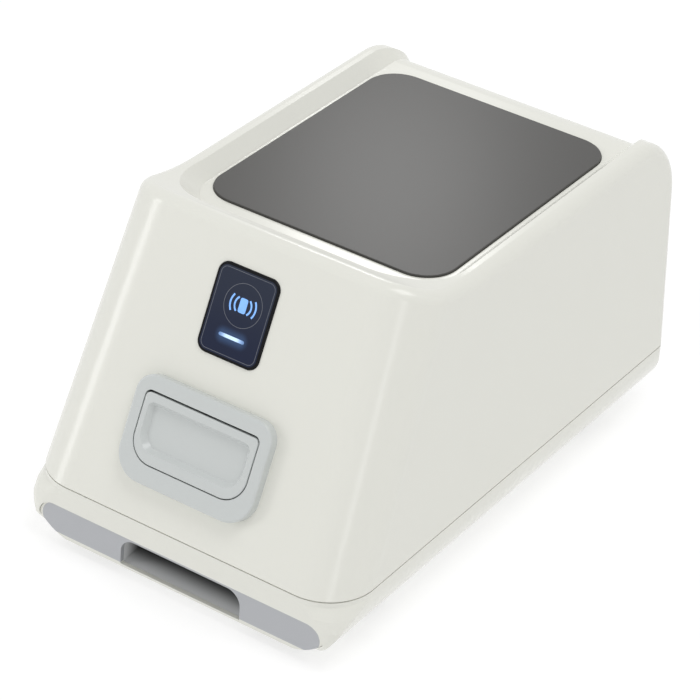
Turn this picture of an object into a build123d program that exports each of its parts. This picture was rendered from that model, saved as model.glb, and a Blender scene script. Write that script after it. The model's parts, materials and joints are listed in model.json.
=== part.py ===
from build123d import *
import os
from math import cos, radians, sin, sqrt, tan

os.makedirs("parts", exist_ok=True)

# Lengths are in millimetres and angles in degrees. Places are given as x to the right,
# depth behind the foot of the sloping front, and height above the parting line.

# Overall form
WIDTH = 168.0
DEPTH = 271.0
COVER_HEIGHT = 124.2
BASE_HEIGHT = 31.5
FOOT_HEIGHT = 2.5
FRONT_ANGLE = 65.3
SIDE_DRAFT = 3.5
FRONT_CORNER = 23.5
RIM_RADIUS = 5.5
WALL = 2.5
SEAM_GAP = 0.6
OVERRUN = 3.0
FIT = 0.1
RUNNING_FIT = 0.05
RIGHT_ANGLE = 90.0

# Rails and sunken top of the upper housing
RAIL_HEIGHT = 114.0
SWOOP_LENGTH = 49.5
RAIL_REAR_RADIUS = 32.0
RAIL_WIDTH = 20.8
DECK_HEIGHT = 107.7
CHANNEL_FRONT = 79.5
CHANNEL_CORNER = 22.0
CHANNEL_SLOPE = 45.0
CHANNEL_RISE = 17.5
REAR_LIP = 6.0
CHANNEL_REAR_RADIUS = 18.0
REAR_RECESS_LOW = 8.0

# Lower housing
BASE_EDGE_RADIUS = 29.0
BASE_REAR_RADIUS = 16.0
BASE_FRONT_RADIUS = 4.0
BASE_CORNER = 11.0
BASE_TURN = 13.0
TURN_SHARE = 0.3
TONGUE_RISE = 3.0
TONGUE_WALL = 1.3
TONGUE_FIT = 0.3
LEDGE_SHARE = 0.8

# Top panel
PANEL_SIDE_GAP = 1.9
PANEL_FRONT_GAP = 11.3
PANEL_REAR_GAP = 7.6
PANEL_CORNER = 16.0
PANEL_THICKNESS = 2.2
PANEL_PROUD = 1.0
PANEL_EDGE_RADIUS = 0.4
PANEL_FIT = 0.25

# Display on the sloping front, measured up the slope
FEATURE_X = -3.0
DISPLAY_WIDTH = 31.4
DISPLAY_LOW = 80.0
DISPLAY_LENGTH = 40.0
DISPLAY_CORNER = 5.0
DISPLAY_THICKNESS = 1.9
DISPLAY_PROUD = 0.8
DISPLAY_EDGE_RADIUS = 0.5
DISPLAY_FIT = 0.15
DISPLAY_LEDGE = 3.0
LIGHT_BAR_LENGTH = 13.0
LIGHT_BAR_WIDTH = 1.4
LIGHT_BAR_UP = 10.0
DISPLAY_BOARD_BACK = 5.0
DISPLAY_BOARD_MARGIN = 5.0
DISPLAY_POST_RADIUS = 2.2
BOARD_THICKNESS = 1.6

# Loading door and its bezel, measured up the slope and out from it
DOOR_WIDTH = 58.4
DOOR_LOW = 25.9
DOOR_LENGTH = 30.0
DOOR_LOW_CORNER = 11.0
DOOR_HIGH_CORNER = 2.5
DOOR_FRONT = 5.3
DOOR_THICKNESS = 3.6
DOOR_EDGE_RADIUS = 0.5
DOOR_SIDE_GAP = 0.6
DOOR_TOP_GAP = 1.0
DOOR_LOW_GAP = 0.5
DOOR_FLANGE = 1.6
DOOR_FLANGE_THICKNESS = 2.0
DOOR_FLANGE_DROP = 3.0
HINGE_DROP = 2.1
PIN_RADIUS = 0.8
PIN_SEAT = 2.5
DISH_DEPTH = 2.6
DISH_SIDE_RIM = 2.6
DISH_TOP_RIM = 3.5
DISH_LOW_RIM = 5.0
DISH_LOW_CORNER = 8.4
DISH_HIGH_CORNER = 3.2
DISH_EDGE_CORNER = 1.2
DISH_WALL_RUN = 2.0
BEZEL_WIDTH = 70.2
BEZEL_LOW = 16.8
BEZEL_LENGTH = 46.9
BEZEL_LOW_CORNER = 13.0
BEZEL_HIGH_CORNER = 9.0
BEZEL_PROUD = 5.0
BEZEL_EDGE_RADIUS = 0.9
BEZEL_RIM = 3.0
SLEEVE_ROOM = 2.4
SLEEVE_WALL = 1.5
SLEEVE_REACH = 6.0
SLEEVE_FIT = 0.3
SPRING_WIRE = 0.6
SPRING_LENGTH = 5.0
SPRING_FIT = 0.15
SPRING_NOTCH_RADIUS = 1.75
SPRING_NOTCH_WIDTH = 6.0
SPRING_DOOR_LEG = (-4.2, -4.4)
SPRING_BEZEL_LEG = (3.9, -6.4)
SPRING_LEG_RADIUS = 0.25

# Outlet
SLOT_X = 1.0
SLOT_WIDTH = 63.5
SLOT_FLOOR = -27.4
SLOT_TOP = -13.6
SLOT_CORNER = 7.0
INSERT_TOP = -12.0
INSERT_LOW = -28.7
INSERT_END = 8.6
INSERT_LIP = 2.2
INSERT_RECESS = 1.0
INSERT_THICKNESS = 2.2
INSERT_FIT = 0.2
TRAY_WALL = 1.2
TRAY_LENGTH = 42.0
TRAY_RISE = 5.4
TRAY_SIDE_HEIGHT = 9.0

# Plate transport
TRANSPORT_X = -0.5
TRANSPORT_SIDE_ROOM = 47.0
FRAME_THICKNESS = 2.0
PATH_DEPTH = 26.2
NIP = 0.8
DRIVE_RADIUS = 6.0
PINCH_RADIUS = 5.0
SHAFT_RADIUS = 2.5
UPPER_ROLLER = 8.0
LOWER_ROLLER = -12.0
TYRE_LENGTH = 14.0
TYRE_PITCH = 21.0
TYRE_COUNT = 3
SHAFT_END = 0.6
BUSH_RADIUS = 4.0
BUSH_FLANGE_RADIUS = 5.0
BUSH_FLANGE = 1.0
GUIDE_THICKNESS = 1.0
GUIDE_GAP = 2.0
GUIDE_LOW = -17.0
GUIDE_WINDOW_FIT = 0.6
RAMP_FOOT = 13.0
RAMP_TOP = (16.0, 17.4)
FUNNEL_FOOT = 15.0
FUNNEL_TOP = (54.0, 42.0)
SCAN_HEIGHT = -2.0
SCAN_SLIT = 4.4
FRAME_CORNER = 3.0
FRAME_OUTLINE = (
    (7.0, 0.0),
    (7.0, 16.0),
    (16.0, 35.0),
    (26.0, 44.0),
    (48.0, 65.0),
    (60.0, 65.0),
    (60.0, 54.0),
    (44.0, 34.0),
    (44.0, 0.0),
)

# Belt drive
PULLEY_RADIUS = 8.0
MOTOR_PULLEY_RADIUS = 5.0
PULLEY_FLANGE = 1.6
PULLEY_FLANGE_THICKNESS = 0.8
PULLEY_WIDTH = 8.0
PULLEY_SPACE = 1.0
PULLEY_ROOM = 0.6
BELT_WIDTH = 6.0
BELT_THICKNESS = 1.2
BELT_FIT = 0.15
MOTOR_DEPTH = 62.0
MOTOR_HEIGHT = 2.0
MOTOR_SIZE = 35.0
MOTOR_SIDE_ROOM = 12.0
MOTOR_CORNER = 4.0
MOTOR_SPIGOT_RADIUS = 11.0
BRACKET_THICKNESS = 1.5
BRACKET_MARGIN = 2.5
BRACKET_FOOT = 12.0

# Chassis
CHASSIS_TOP = -19.5
CHASSIS_THICKNESS = 1.5
CHASSIS_SIDE_ROOM = 18.0
CHASSIS_FRONT = 12.0
CHASSIS_REAR_ROOM = 15.0
CHASSIS_CORNER = 5.0
CHASSIS_TRAY_ROOM = 0.8
CHASSIS_POST_RADIUS = 4.0
CHASSIS_POST_INSET = 8.0
CHASSIS_POST_DEPTHS = (22.0, 100.0)
CHASSIS_POST_REAR = 56.0

# Optics
OPTICS_HALF_WIDTH = 42.0
OPTICS_SHARE = 0.4354244
OPTICS_LENGTH = 87.0
OPTICS_WALL = 2.0
OPTICS_HEIGHT = 43.5
OPTICS_CORNER = 5.0
OPTICS_WINDOW_WIDTH = 36.0
OPTICS_WINDOW_HEIGHT = 7.0
LID_THICKNESS = 2.0
MIRROR_BACK = 54.0
MIRROR_RADIUS = 12.0
MIRROR_SIDES = 6
MIRROR_THICKNESS = 4.0
MIRROR_SPINDLE_RADIUS = 1.5
MIRROR_MOTOR_RADIUS = 13.0
MIRROR_MOTOR_GAP = 1.0
LASER_RADIUS = 5.0
LASER_LENGTH = 17.0
LASER_NOSE = 2.0
LASER_X = 19.0
LASER_MOUNT_WIDTH = 10.0
LENS_BACK = 22.0
LENS_WIDTH = 44.0
LENS_HEIGHT = 9.0
LENS_EDGE = 4.0
LENS_CROWN = 4.0
COLLECTOR_FRONT = 28.6
COLLECTOR_SIDE_ROOM = 7.0
COLLECTOR_LOW = -0.4
COLLECTOR_THICKNESS = 2.0
COLLECTOR_BEND = 41.0
COLLECTOR_END_SIZE = 14.0
TUBE_HEIGHT = 12.0
TUBE_RADIUS = 11.0
TUBE_LENGTH = 32.0
TUBE_BASE_RADIUS = 12.0
TUBE_BASE_LENGTH = 7.0
TUBE_END_ROOM = 0.7
TUBE_MOUNT_WIDTH = 8.0
TUBE_MOUNT_HALF = 18.0
TUBE_MOUNT_LEG = 2.5

# Erasing lamp
LAMP_DEPTH = 6.4
LAMP_WIDTH = 8.0
LAMP_LOW = -11.6
LAMP_HEIGHT = 7.0
LAMP_WALL = 1.0
LAMP_BOARD_THICKNESS = 1.2
LED_SIZE = 3.5
LED_HEIGHT = 1.4
LED_COUNT = 8
LED_PITCH = 7.6

# Boards
MAIN_BOARD_WIDTH = 104.0
MAIN_BOARD_LENGTH = 84.0
STANDOFF_HEIGHT = 8.0
STANDOFF_RADIUS = 3.0
STANDOFF_INSET = 9.0
CHIPS = (
    ((-8.0, 44.0), 16.0, 16.0, 1.6),
    ((22.0, 40.0), 10.0, 14.0, 1.2),
    ((-34.0, 40.0), 12.0, 22.0, 6.0),
    ((0.0, 12.0), 30.0, 7.0, 7.0),
    ((10.0, 72.0), 36.0, 8.0, 9.0),
)
BOARD_SCREW_RADIUS = 1.4
BOARD_SCREW_HEAD = 2.6
BOARD_SCREW_RISE = 1.8
REAR_BOARD_SIDE_ROOM = 1.0
REAR_BOARD_TOP = 38.0
REAR_BOARD_ROOM = 16.0
REAR_BOARD_FOOT = 9.0

# Rear panel and its fittings
REAR_OPENING_SIDE = 16.2
REAR_OPENING_LOW = 18.0
REAR_OPENING_HIGH = 68.0
REAR_PANEL_MARGIN = 6.0
REAR_PANEL_THICKNESS = 1.8
REAR_PANEL_CORNER = 4.0
PORT_HEIGHT = 29.0
INLET_SHARE = -0.638
INLET_SIZE = 11.0
INLET_BORE = 3.2
INLET_PIN = 1.0
SOCKET_SHARE = -0.128
SOCKET_WIDTH = 12.0
SOCKET_HEIGHT = 10.8
SOCKET_CHAMFER = 3.0
SOCKET_WALL = 1.2
PORT_PROUD = 0.6
SWITCH_SHARE = 0.553
SWITCH_WIDTH = 14.0
SWITCH_LENGTH = 21.0
SWITCH_RIM = 1.6
SWITCH_RIM_THICKNESS = 1.4
SWITCH_DEPTH = 12.0
ROCKER_TILT = 8.0
ROCKER_GAP = 0.5
ROCKER_PROUD = 1.2
ROCKER_BODY = 4.0
ROCKER_PIN_RADIUS = 1.2
VENT_COUNT = 9
VENT_PITCH = 8.0
VENT_WIDTH = 3.0
VENT_LOW = 42.0
VENT_LENGTH = 20.0
PANEL_SCREW_RADIUS = 1.4
PANEL_SCREW_HEAD = 2.7
PANEL_SCREW_RISE = 1.5
PANEL_SCREW_LENGTH = 6.0
PANEL_SCREW_INSET = 3.2

# Housing screws, their posts and the feet
HOUSING_POST_INSET = 12.0
HOUSING_POST_FRONT = 32.0
HOUSING_POST_REAR = 33.0
HOUSING_POST_RADIUS = 4.4
HOUSING_POST_HEIGHT = 40.0
HOUSING_RIB = 2.0
HOUSING_BOSS_RADIUS = 5.2
SCREW_RADIUS = 1.5
SCREW_HEAD_RADIUS = 3.0
SCREW_HEAD_HEIGHT = 2.4
SCREW_SEAT = -14.0
SCREW_REACH = 12.0
SCREW_DRIVE_RADIUS = 1.3
SCREW_DRIVE_DEPTH = 1.3
FOOT_INSET = 23.0
FOOT_FRONT = 50.0
FOOT_REAR = 45.0
FOOT_RADIUS = 7.0
FOOT_EDGE_RADIUS = 1.0

# Sizes that follow from the ones above
CHANNEL_WIDTH = WIDTH - 2 * RAIL_WIDTH
CHANNEL_REAR = DEPTH - REAR_LIP
PANEL_WIDTH = CHANNEL_WIDTH - 2 * PANEL_SIDE_GAP
PANEL_FRONT = CHANNEL_FRONT + PANEL_FRONT_GAP
PANEL_LENGTH = CHANNEL_REAR - CHANNEL_REAR_RADIUS - PANEL_REAR_GAP - PANEL_FRONT
INSERT_HALF_WIDTH = WIDTH / 2 - INSERT_END
TRANSPORT_WIDTH = WIDTH - 2 * TRANSPORT_SIDE_ROOM
CHASSIS_HALF_WIDTH = WIDTH / 2 - CHASSIS_SIDE_ROOM
CHASSIS_POST_X = CHASSIS_HALF_WIDTH - CHASSIS_POST_INSET
OPTICS_FRONT = DEPTH * OPTICS_SHARE
MIRROR_DEPTH = OPTICS_FRONT + MIRROR_BACK
LENS_DEPTH = OPTICS_FRONT + LENS_BACK
COLLECTOR_WIDTH = TRANSPORT_WIDTH - 2 * COLLECTOR_SIDE_ROOM
COLLECTOR_END = OPTICS_FRONT - TUBE_END_ROOM - TUBE_BASE_LENGTH - TUBE_LENGTH - SLEEVE_FIT
REAR_BOARD_DEPTH = CHANNEL_REAR - REAR_BOARD_ROOM
REAR_OPENING_HALF = CHANNEL_WIDTH / 2 - REAR_OPENING_SIDE
INLET_X = REAR_OPENING_HALF * INLET_SHARE
SOCKET_X = REAR_OPENING_HALF * SOCKET_SHARE
SWITCH_X = REAR_OPENING_HALF * SWITCH_SHARE

# Frames of reference
FRONT_Y = -DEPTH / 2
SEAM_Z = FOOT_HEIGHT + BASE_HEIGHT
CORNER_POINT = (0, FRONT_Y, SEAM_Z)
SLOPE_SIN = sin(radians(FRONT_ANGLE))
SLOPE_COS = cos(radians(FRONT_ANGLE))
PLAN = Plane(origin=CORNER_POINT, x_dir=(1, 0, 0), z_dir=(0, 0, 1))
SIDE = Plane(origin=CORNER_POINT, x_dir=(0, 1, 0), z_dir=(1, 0, 0))
FACING = Plane(origin=CORNER_POINT, x_dir=(1, 0, 0), z_dir=(0, -1, 0))
SLOPE = Plane(origin=CORNER_POINT, x_dir=(1, 0, 0), z_dir=(0, -SLOPE_SIN, SLOPE_COS))
OUTWARD = Axis(CORNER_POINT, SLOPE.z_dir)


def prism(plane, sketch, start, end):
    """Extrude a sketch drawn on a plane between two offsets of that plane."""
    return extrude(plane.offset(start) * sketch, amount=end - start, dir=plane.z_dir)


def through(sketch, near, far):
    """Extrude a front view between two depths."""
    return prism(FACING, sketch, -near, -far)


def rounded(x, y, low, high):
    """Rectangle over two ranges, with one corner radius along its low edge and one along its high edge."""
    shape = Pos(sum(x) / 2, sum(y) / 2) * Rectangle(x[1] - x[0], y[1] - y[0])
    if low > 0:
        shape = fillet(shape.vertices().group_by(Axis.Y)[0], low)
    if high > 0:
        shape = fillet(shape.vertices().group_by(Axis.Y)[-1], high)
    return shape


def span(middle, width):
    """Range of a given width about its middle."""
    return (middle - width / 2, middle + width / 2)


def grown(limits, margin):
    """Range made longer at both ends."""
    return (limits[0] - margin, limits[1] + margin)


def block(x, depth, height):
    """Box over ranges of x, depth and height."""
    return prism(PLAN, rounded(x, depth, 0, 0), height[0], height[1])


def rod(x, depth, height, radius):
    """Round bar from side to side."""
    return prism(SIDE, Pos(depth, height) * Circle(radius), x[0], x[1])


def post(x, depth, height, radius):
    """Upright round bar over a range of heights."""
    return prism(PLAN, Pos(x, depth) * Circle(radius), height[0], height[1])


def bar(x, depth, height, radius):
    """Round bar from front to rear over a range of depths."""
    return through(Pos(x, height) * Circle(radius), depth[0], depth[1])


def up_slope(along, out):
    """Depth and height of a point given up the sloping front and out from it."""
    return (along * SLOPE_COS - out * SLOPE_SIN, along * SLOPE_SIN + out * SLOPE_COS)


def joined(shapes):
    """Fuse a list of solids into one piece."""
    first, *rest = shapes
    return first.fuse(*rest) if rest else first


def group(shapes):
    """Keep a list of equal solids apart in one node."""
    return Compound(children=list(shapes))


def save(shape, name):
    """Write one piece to its own file."""
    export_step(shape, f"parts/{name}.step")


def cover_outline(height, inset, rear_corner):
    """Plan of the upper housing at one height: drafted sides and a front that leans back."""
    half = WIDTH / 2 - height * tan(radians(SIDE_DRAFT)) - inset
    front = height / tan(radians(FRONT_ANGLE)) + inset / SLOPE_SIN
    outline = rounded((-half, half), (front, DEPTH - inset), FRONT_CORNER - inset, rear_corner)
    return PLAN.offset(height) * outline


def cover_side(inset, low):
    """Side view of the rails: a front lip that falls in an arc to level rails with round rear ends."""
    rise = COVER_HEIGHT - RAIL_HEIGHT
    start = COVER_HEIGHT / tan(radians(FRONT_ANGLE)) + SWOOP_LENGTH
    radius = (SWOOP_LENGTH**2 + rise**2) / (2 * rise)
    reach = SWOOP_LENGTH + OVERRUN
    arc_radius = radius + inset
    level = RAIL_HEIGHT - inset
    lip = (start - reach, RAIL_HEIGHT + radius - sqrt(arc_radius**2 - reach**2))
    rear = DEPTH - RAIL_REAR_RADIUS
    rear_arc = RAIL_REAR_RADIUS - inset
    lines = [
        Line((-OVERRUN, low), (-OVERRUN, lip[1])),
        Line((-OVERRUN, lip[1]), lip),
        RadiusArc(lip, (start, level), -arc_radius),
        Line((start, level), (rear, level)),
        RadiusArc((rear, level), (rear + rear_arc, level - rear_arc), rear_arc),
        Line((rear + rear_arc, level - rear_arc), (rear + rear_arc, low)),
        Line((rear + rear_arc, low), (-OVERRUN, low)),
    ]
    return make_face(lines)


def cover_block(inset, low):
    """Cover before the top is sunk; one rounding runs along the lip, the rails and the rear corners."""
    plans = [cover_outline(height, inset, 0) for height in (low, COVER_HEIGHT + OVERRUN)]
    body = loft(plans, ruled=True) & prism(SIDE, cover_side(inset, low - OVERRUN), -WIDTH, WIDTH)
    return fillet(body.edges().sort_by(Axis.Z)[-1], RIM_RADIUS - inset)


def channel(inset):
    """Sunken top between the rails, which runs on over the rear edge and down the back."""
    shift = inset * tan(radians((RIGHT_ANGLE - CHANNEL_SLOPE) / 2))
    floor = DECK_HEIGHT - inset
    half = CHANNEL_WIDTH / 2 + shift
    front = CHANNEL_FRONT - shift
    rear = CHANNEL_REAR - inset
    turn = CHANNEL_REAR - CHANNEL_REAR_RADIUS
    turn_height = DECK_HEIGHT - CHANNEL_REAR_RADIUS
    flare = CHANNEL_RISE * tan(radians(CHANNEL_SLOPE))
    floor_plan = rounded((-half, half), (front, turn), CHANNEL_CORNER + shift, 0)
    section = Polygon(
        (-half, 0), (half, 0), (half + flare, CHANNEL_RISE), (-half - flare, CHANNEL_RISE), align=None
    )
    top = extrude(PLAN.offset(floor) * floor_plan, amount=CHANNEL_RISE, taper=-CHANNEL_SLOPE)
    top = top & block((-WIDTH, WIDTH), (-OVERRUN, turn), (floor, floor + CHANNEL_RISE))
    axis = Axis((0, FRONT_Y + turn, SEAM_Z + turn_height), (-1, 0, 0))
    bend = revolve(FACING.offset(-turn) * Pos(0, floor) * section, axis=axis, revolution_arc=RIGHT_ANGLE)
    back = prism(PLAN, Pos(0, rear) * section, REAR_RECESS_LOW - shift, turn_height)
    return joined([top, bend, back])


def upper_housing():
    """White cover: sloping front, rails, sunken top, posts for the screws and the fixed openings."""
    outer = cover_block(0, 0) - channel(0)
    body = outer - (cover_block(WALL, -OVERRUN) - channel(WALL))
    body = body + cover_posts()
    body = body - top_panel_space() - display_space() - door_space() - rear_opening()
    return body + display_posts()


def cover_posts():
    """Screw posts of the cover, each tied to the side wall by a rib."""
    limit = cover_block(WALL / 2, 0)
    posts = []
    for x, depth in housing_posts():
        tower = post(x, depth, (0, HOUSING_POST_HEIGHT), HOUSING_POST_RADIUS)
        rib_x = sorted((x, WIDTH / 2 if x > 0 else -WIDTH / 2))
        rib = block(rib_x, span(depth, HOUSING_RIB), (2 * TONGUE_RISE, HOUSING_POST_HEIGHT))
        hole = post(x, depth, (-OVERRUN, SCREW_REACH + OVERRUN), SCREW_RADIUS + RUNNING_FIT)
        posts.append((tower + rib & limit) - hole)
    return joined(posts)


def top_panel_outline(margin):
    """Plan of the dark top panel."""
    x = grown(span(0, PANEL_WIDTH), margin)
    depth = grown((PANEL_FRONT, PANEL_FRONT + PANEL_LENGTH), margin)
    return rounded(x, depth, PANEL_CORNER + margin, PANEL_CORNER + margin)


def top_panel_space():
    """Recess that the top panel lies in."""
    low = DECK_HEIGHT + PANEL_PROUD - PANEL_THICKNESS
    return prism(PLAN, top_panel_outline(PANEL_FIT), low, DECK_HEIGHT + OVERRUN)


def top_panel():
    """Dark plate, a little proud of the deck."""
    top = DECK_HEIGHT + PANEL_PROUD
    plate = prism(PLAN, top_panel_outline(0), top - PANEL_THICKNESS, top)
    return fillet(plate.faces().sort_by(Axis.Z)[-1].edges(), PANEL_EDGE_RADIUS)


def display_outline(margin):
    """Outline of the display glass on the sloping front."""
    x = grown(span(FEATURE_X, DISPLAY_WIDTH), margin)
    along = grown((DISPLAY_LOW, DISPLAY_LOW + DISPLAY_LENGTH), margin)
    return rounded(x, along, DISPLAY_CORNER + margin, DISPLAY_CORNER + margin)


def display_space():
    """Recess of the glass and the window behind it."""
    recess = prism(SLOPE, display_outline(DISPLAY_FIT), DISPLAY_PROUD - DISPLAY_THICKNESS, OVERRUN)
    return recess + prism(SLOPE, display_outline(-DISPLAY_LEDGE), -WALL - OVERRUN, OVERRUN)


def display_board_outline():
    """Outline of the board behind the display."""
    x = grown(span(FEATURE_X, DISPLAY_WIDTH), DISPLAY_BOARD_MARGIN)
    along = grown((DISPLAY_LOW, DISPLAY_LOW + DISPLAY_LENGTH), DISPLAY_BOARD_MARGIN)
    return rounded(x, along, DISPLAY_POST_RADIUS, DISPLAY_POST_RADIUS)


def display_posts():
    """Short posts on the back of the front wall that carry the display board."""
    inset = DISPLAY_BOARD_MARGIN - DISPLAY_POST_RADIUS
    posts = []
    for x in grown(span(FEATURE_X, DISPLAY_WIDTH), inset):
        for along in grown((DISPLAY_LOW, DISPLAY_LOW + DISPLAY_LENGTH), inset):
            circle = Pos(x, along) * Circle(DISPLAY_POST_RADIUS)
            posts.append(prism(SLOPE, circle, -DISPLAY_BOARD_BACK, -WALL / 2))
    return joined(posts)


def light_bar_outline(margin):
    """Outline of the lit strip low on the display."""
    place = Pos(FEATURE_X, DISPLAY_LOW + LIGHT_BAR_UP)
    return place * SlotOverall(LIGHT_BAR_LENGTH + 2 * margin, LIGHT_BAR_WIDTH + 2 * margin)


def display_window():
    """Dark glass with a slot for the light bar."""
    glass = prism(SLOPE, display_outline(0), DISPLAY_PROUD - DISPLAY_THICKNESS, DISPLAY_PROUD)
    glass = fillet(glass.faces().sort_by(OUTWARD)[-1].edges(), DISPLAY_EDGE_RADIUS)
    return glass - prism(SLOPE, light_bar_outline(FIT), -DISPLAY_THICKNESS - OVERRUN, OVERRUN)


def light_bar():
    """Light pipe from the display board to the face of the glass."""
    return prism(SLOPE, light_bar_outline(0), -DISPLAY_BOARD_BACK, DISPLAY_PROUD)


def display_board():
    """Board behind the display."""
    return prism(SLOPE, display_board_outline(), -DISPLAY_BOARD_BACK - BOARD_THICKNESS, -DISPLAY_BOARD_BACK)


def hinge_place():
    """Distance up the slope and out from it of the door's hinge axis."""
    return (DOOR_LOW + DOOR_LENGTH - HINGE_DROP, DOOR_FRONT - HINGE_DROP)


def door_outline(side, low, high):
    """Outline of the door, grown at its sides, its low edge and its high edge."""
    x = grown(span(FEATURE_X, DOOR_WIDTH), side)
    along = (DOOR_LOW - low, DOOR_LOW + DOOR_LENGTH + high)
    return rounded(x, along, DOOR_LOW_CORNER + side, DOOR_HIGH_CORNER + side)


def sleeve_outline(margin):
    """Outline of the sleeve behind the bezel, grown by a margin."""
    more = SLEEVE_ROOM + margin
    return door_outline(DOOR_SIDE_GAP + more, DOOR_LOW_GAP + more, DOOR_TOP_GAP + more)


def door_space():
    """Opening of the sloping front for the sleeve of the bezel."""
    return prism(SLOPE, sleeve_outline(SLEEVE_WALL + SLEEVE_FIT), -WALL - OVERRUN, OVERRUN)


def hinge_rod(length, radius):
    """Round bar on the hinge axis, about the middle of the door."""
    depth, height = up_slope(*hinge_place())
    return rod(span(FEATURE_X, length), depth, height, radius)


def door_bezel():
    """Frame around the door with a sleeve through the front wall and two blind holes for the pin."""
    x = span(FEATURE_X, BEZEL_WIDTH)
    outline = rounded(x, (BEZEL_LOW, BEZEL_LOW + BEZEL_LENGTH), BEZEL_LOW_CORNER, BEZEL_HIGH_CORNER)
    collar = prism(SLOPE, outline, 0, BEZEL_PROUD)
    collar = fillet(collar.faces().sort_by(OUTWARD)[-1].edges(), BEZEL_EDGE_RADIUS)
    sleeve = prism(SLOPE, sleeve_outline(SLEEVE_WALL), -SLEEVE_REACH, BEZEL_PROUD / 2)
    room = prism(SLOPE, sleeve_outline(0), -SLEEVE_REACH - OVERRUN, BEZEL_PROUD - BEZEL_RIM)
    mouth = door_outline(DOOR_SIDE_GAP, DOOR_LOW_GAP, DOOR_TOP_GAP)
    opening = prism(SLOPE, mouth, 0, BEZEL_PROUD + OVERRUN)
    seats = hinge_rod(DOOR_WIDTH + 2 * (DOOR_SIDE_GAP + PIN_SEAT), PIN_RADIUS + RUNNING_FIT)
    return (collar + sleeve) - room - opening - seats


def loading_door():
    """Dished flap that hangs from its top edge and swings inward; a flange behind it meets the bezel."""
    back = DOOR_FRONT - DOOR_THICKNESS
    along, _ = hinge_place()
    plate = prism(SLOPE, door_outline(0, 0, 0), back, DOOR_FRONT)
    plate = fillet(plate.faces().sort_by(OUTWARD)[-1].edges(), DOOR_EDGE_RADIUS)
    flange = door_outline(DOOR_FLANGE, DOOR_FLANGE, 0)
    limit = rounded(span(FEATURE_X, WIDTH), (0, along - DOOR_FLANGE_DROP), 0, 0)
    flange = prism(SLOPE, flange & limit, back - DOOR_FLANGE_THICKNESS, back)
    barrel = hinge_rod(DOOR_WIDTH - 2 * DOOR_HIGH_CORNER, HINGE_DROP)
    x = grown(span(FEATURE_X, DOOR_WIDTH), -DISH_SIDE_RIM)
    reach = (DOOR_LOW + DISH_LOW_RIM, DOOR_LOW + DOOR_LENGTH - DISH_TOP_RIM)
    mouth = rounded(x, reach, DISH_LOW_CORNER, DISH_HIGH_CORNER)
    floor_x = grown(x, -DISH_WALL_RUN)
    floor_reach = grown(reach, -DISH_WALL_RUN)
    floor = rounded(floor_x, floor_reach, DISH_LOW_CORNER - DISH_WALL_RUN, DISH_EDGE_CORNER)
    faces = [SLOPE.offset(DOOR_FRONT - DISH_DEPTH) * floor, SLOPE.offset(DOOR_FRONT) * mouth]
    dish = loft(faces, ruled=True)
    pin = hinge_rod(DOOR_WIDTH + OVERRUN, PIN_RADIUS + RUNNING_FIT)
    return (plate + flange + barrel) - dish - pin - spring_space()


def spring_space():
    """Notch in the back of the door for the spring."""
    along, out = hinge_place()
    x = span(FEATURE_X, SPRING_NOTCH_WIDTH)
    slot = rounded(x, (along - SPRING_NOTCH_RADIUS, along + OVERRUN), 0, 0)
    return hinge_rod(SPRING_NOTCH_WIDTH, SPRING_NOTCH_RADIUS) + prism(SLOPE, slot, -OVERRUN, out)


def door_hinge_pin():
    """Straight pin across the top of the door."""
    return hinge_rod(DOOR_WIDTH + 2 * (DOOR_SIDE_GAP + PIN_SEAT - FIT), PIN_RADIUS)


def door_spring():
    """Closing spring: a coil around the pin and one leg each for the door and the bezel."""
    along, out = hinge_place()
    inner = PIN_RADIUS + SPRING_FIT
    coil = hinge_rod(SPRING_LENGTH, inner + SPRING_WIRE) - hinge_rod(SPRING_LENGTH, inner)
    radius = inner + SPRING_WIRE / 2
    rear = (along, out - radius)
    upper = (along + radius, out)
    legs = []
    for side, start, reach in ((-1, rear, SPRING_DOOR_LEG), (1, upper, SPRING_BEZEL_LEG)):
        x = FEATURE_X + side * (SPRING_LENGTH - SPRING_WIRE) / 2
        end = (start[0] + reach[0], start[1] + reach[1])
        points = [SLOPE.from_local_coords(Vector(x, *place)) for place in (start, end)]
        legs.append(link(*points, SPRING_LEG_RADIUS))
    return joined([coil, *legs])


def link(start, end, radius):
    """Round bar between two points."""
    way = end - start
    return extrude(Plane(origin=start, z_dir=way) * Circle(radius), amount=way.length)


def base_block(inset):
    """Solid of the lower housing: upright sides, large radii along its lower side edges."""
    half = WIDTH / 2 - inset
    low = inset - BASE_HEIGHT
    body = base_column(inset, low)
    section = rounded((-half, half), (low, OVERRUN), BASE_EDGE_RADIUS - inset, 0)
    front = rounded((inset, DEPTH), (low, OVERRUN), BASE_FRONT_RADIUS - inset, 0)
    rear = rounded((0, DEPTH - inset), (low, OVERRUN), BASE_REAR_RADIUS - inset, 0)
    body = body & through(section, -OVERRUN, DEPTH + OVERRUN)
    return body & prism(SIDE, front, -WIDTH, WIDTH) & prism(SIDE, rear, -WIDTH, WIDTH)


def base_column(inset, low):
    """Upright solid whose front corners tighten from those of the cover to those of the base."""
    half = WIDTH / 2 - inset
    plans = []
    for share in (1, TURN_SHARE, 0):
        corner = BASE_CORNER + (FRONT_CORNER - BASE_CORNER) * share - inset
        plans.append(rounded((-half, half), (inset, DEPTH - inset), corner, RIM_RADIUS - inset))
    heights = (-TONGUE_RISE, -(TONGUE_RISE + BASE_TURN) / 2, -BASE_TURN)
    turn = loft([PLAN.offset(height) * plan for height, plan in zip(heights, plans)], ruled=True)
    return joined([prism(PLAN, plans[0], -TONGUE_RISE, 0), turn, prism(PLAN, plans[2], low, -BASE_TURN)])


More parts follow.
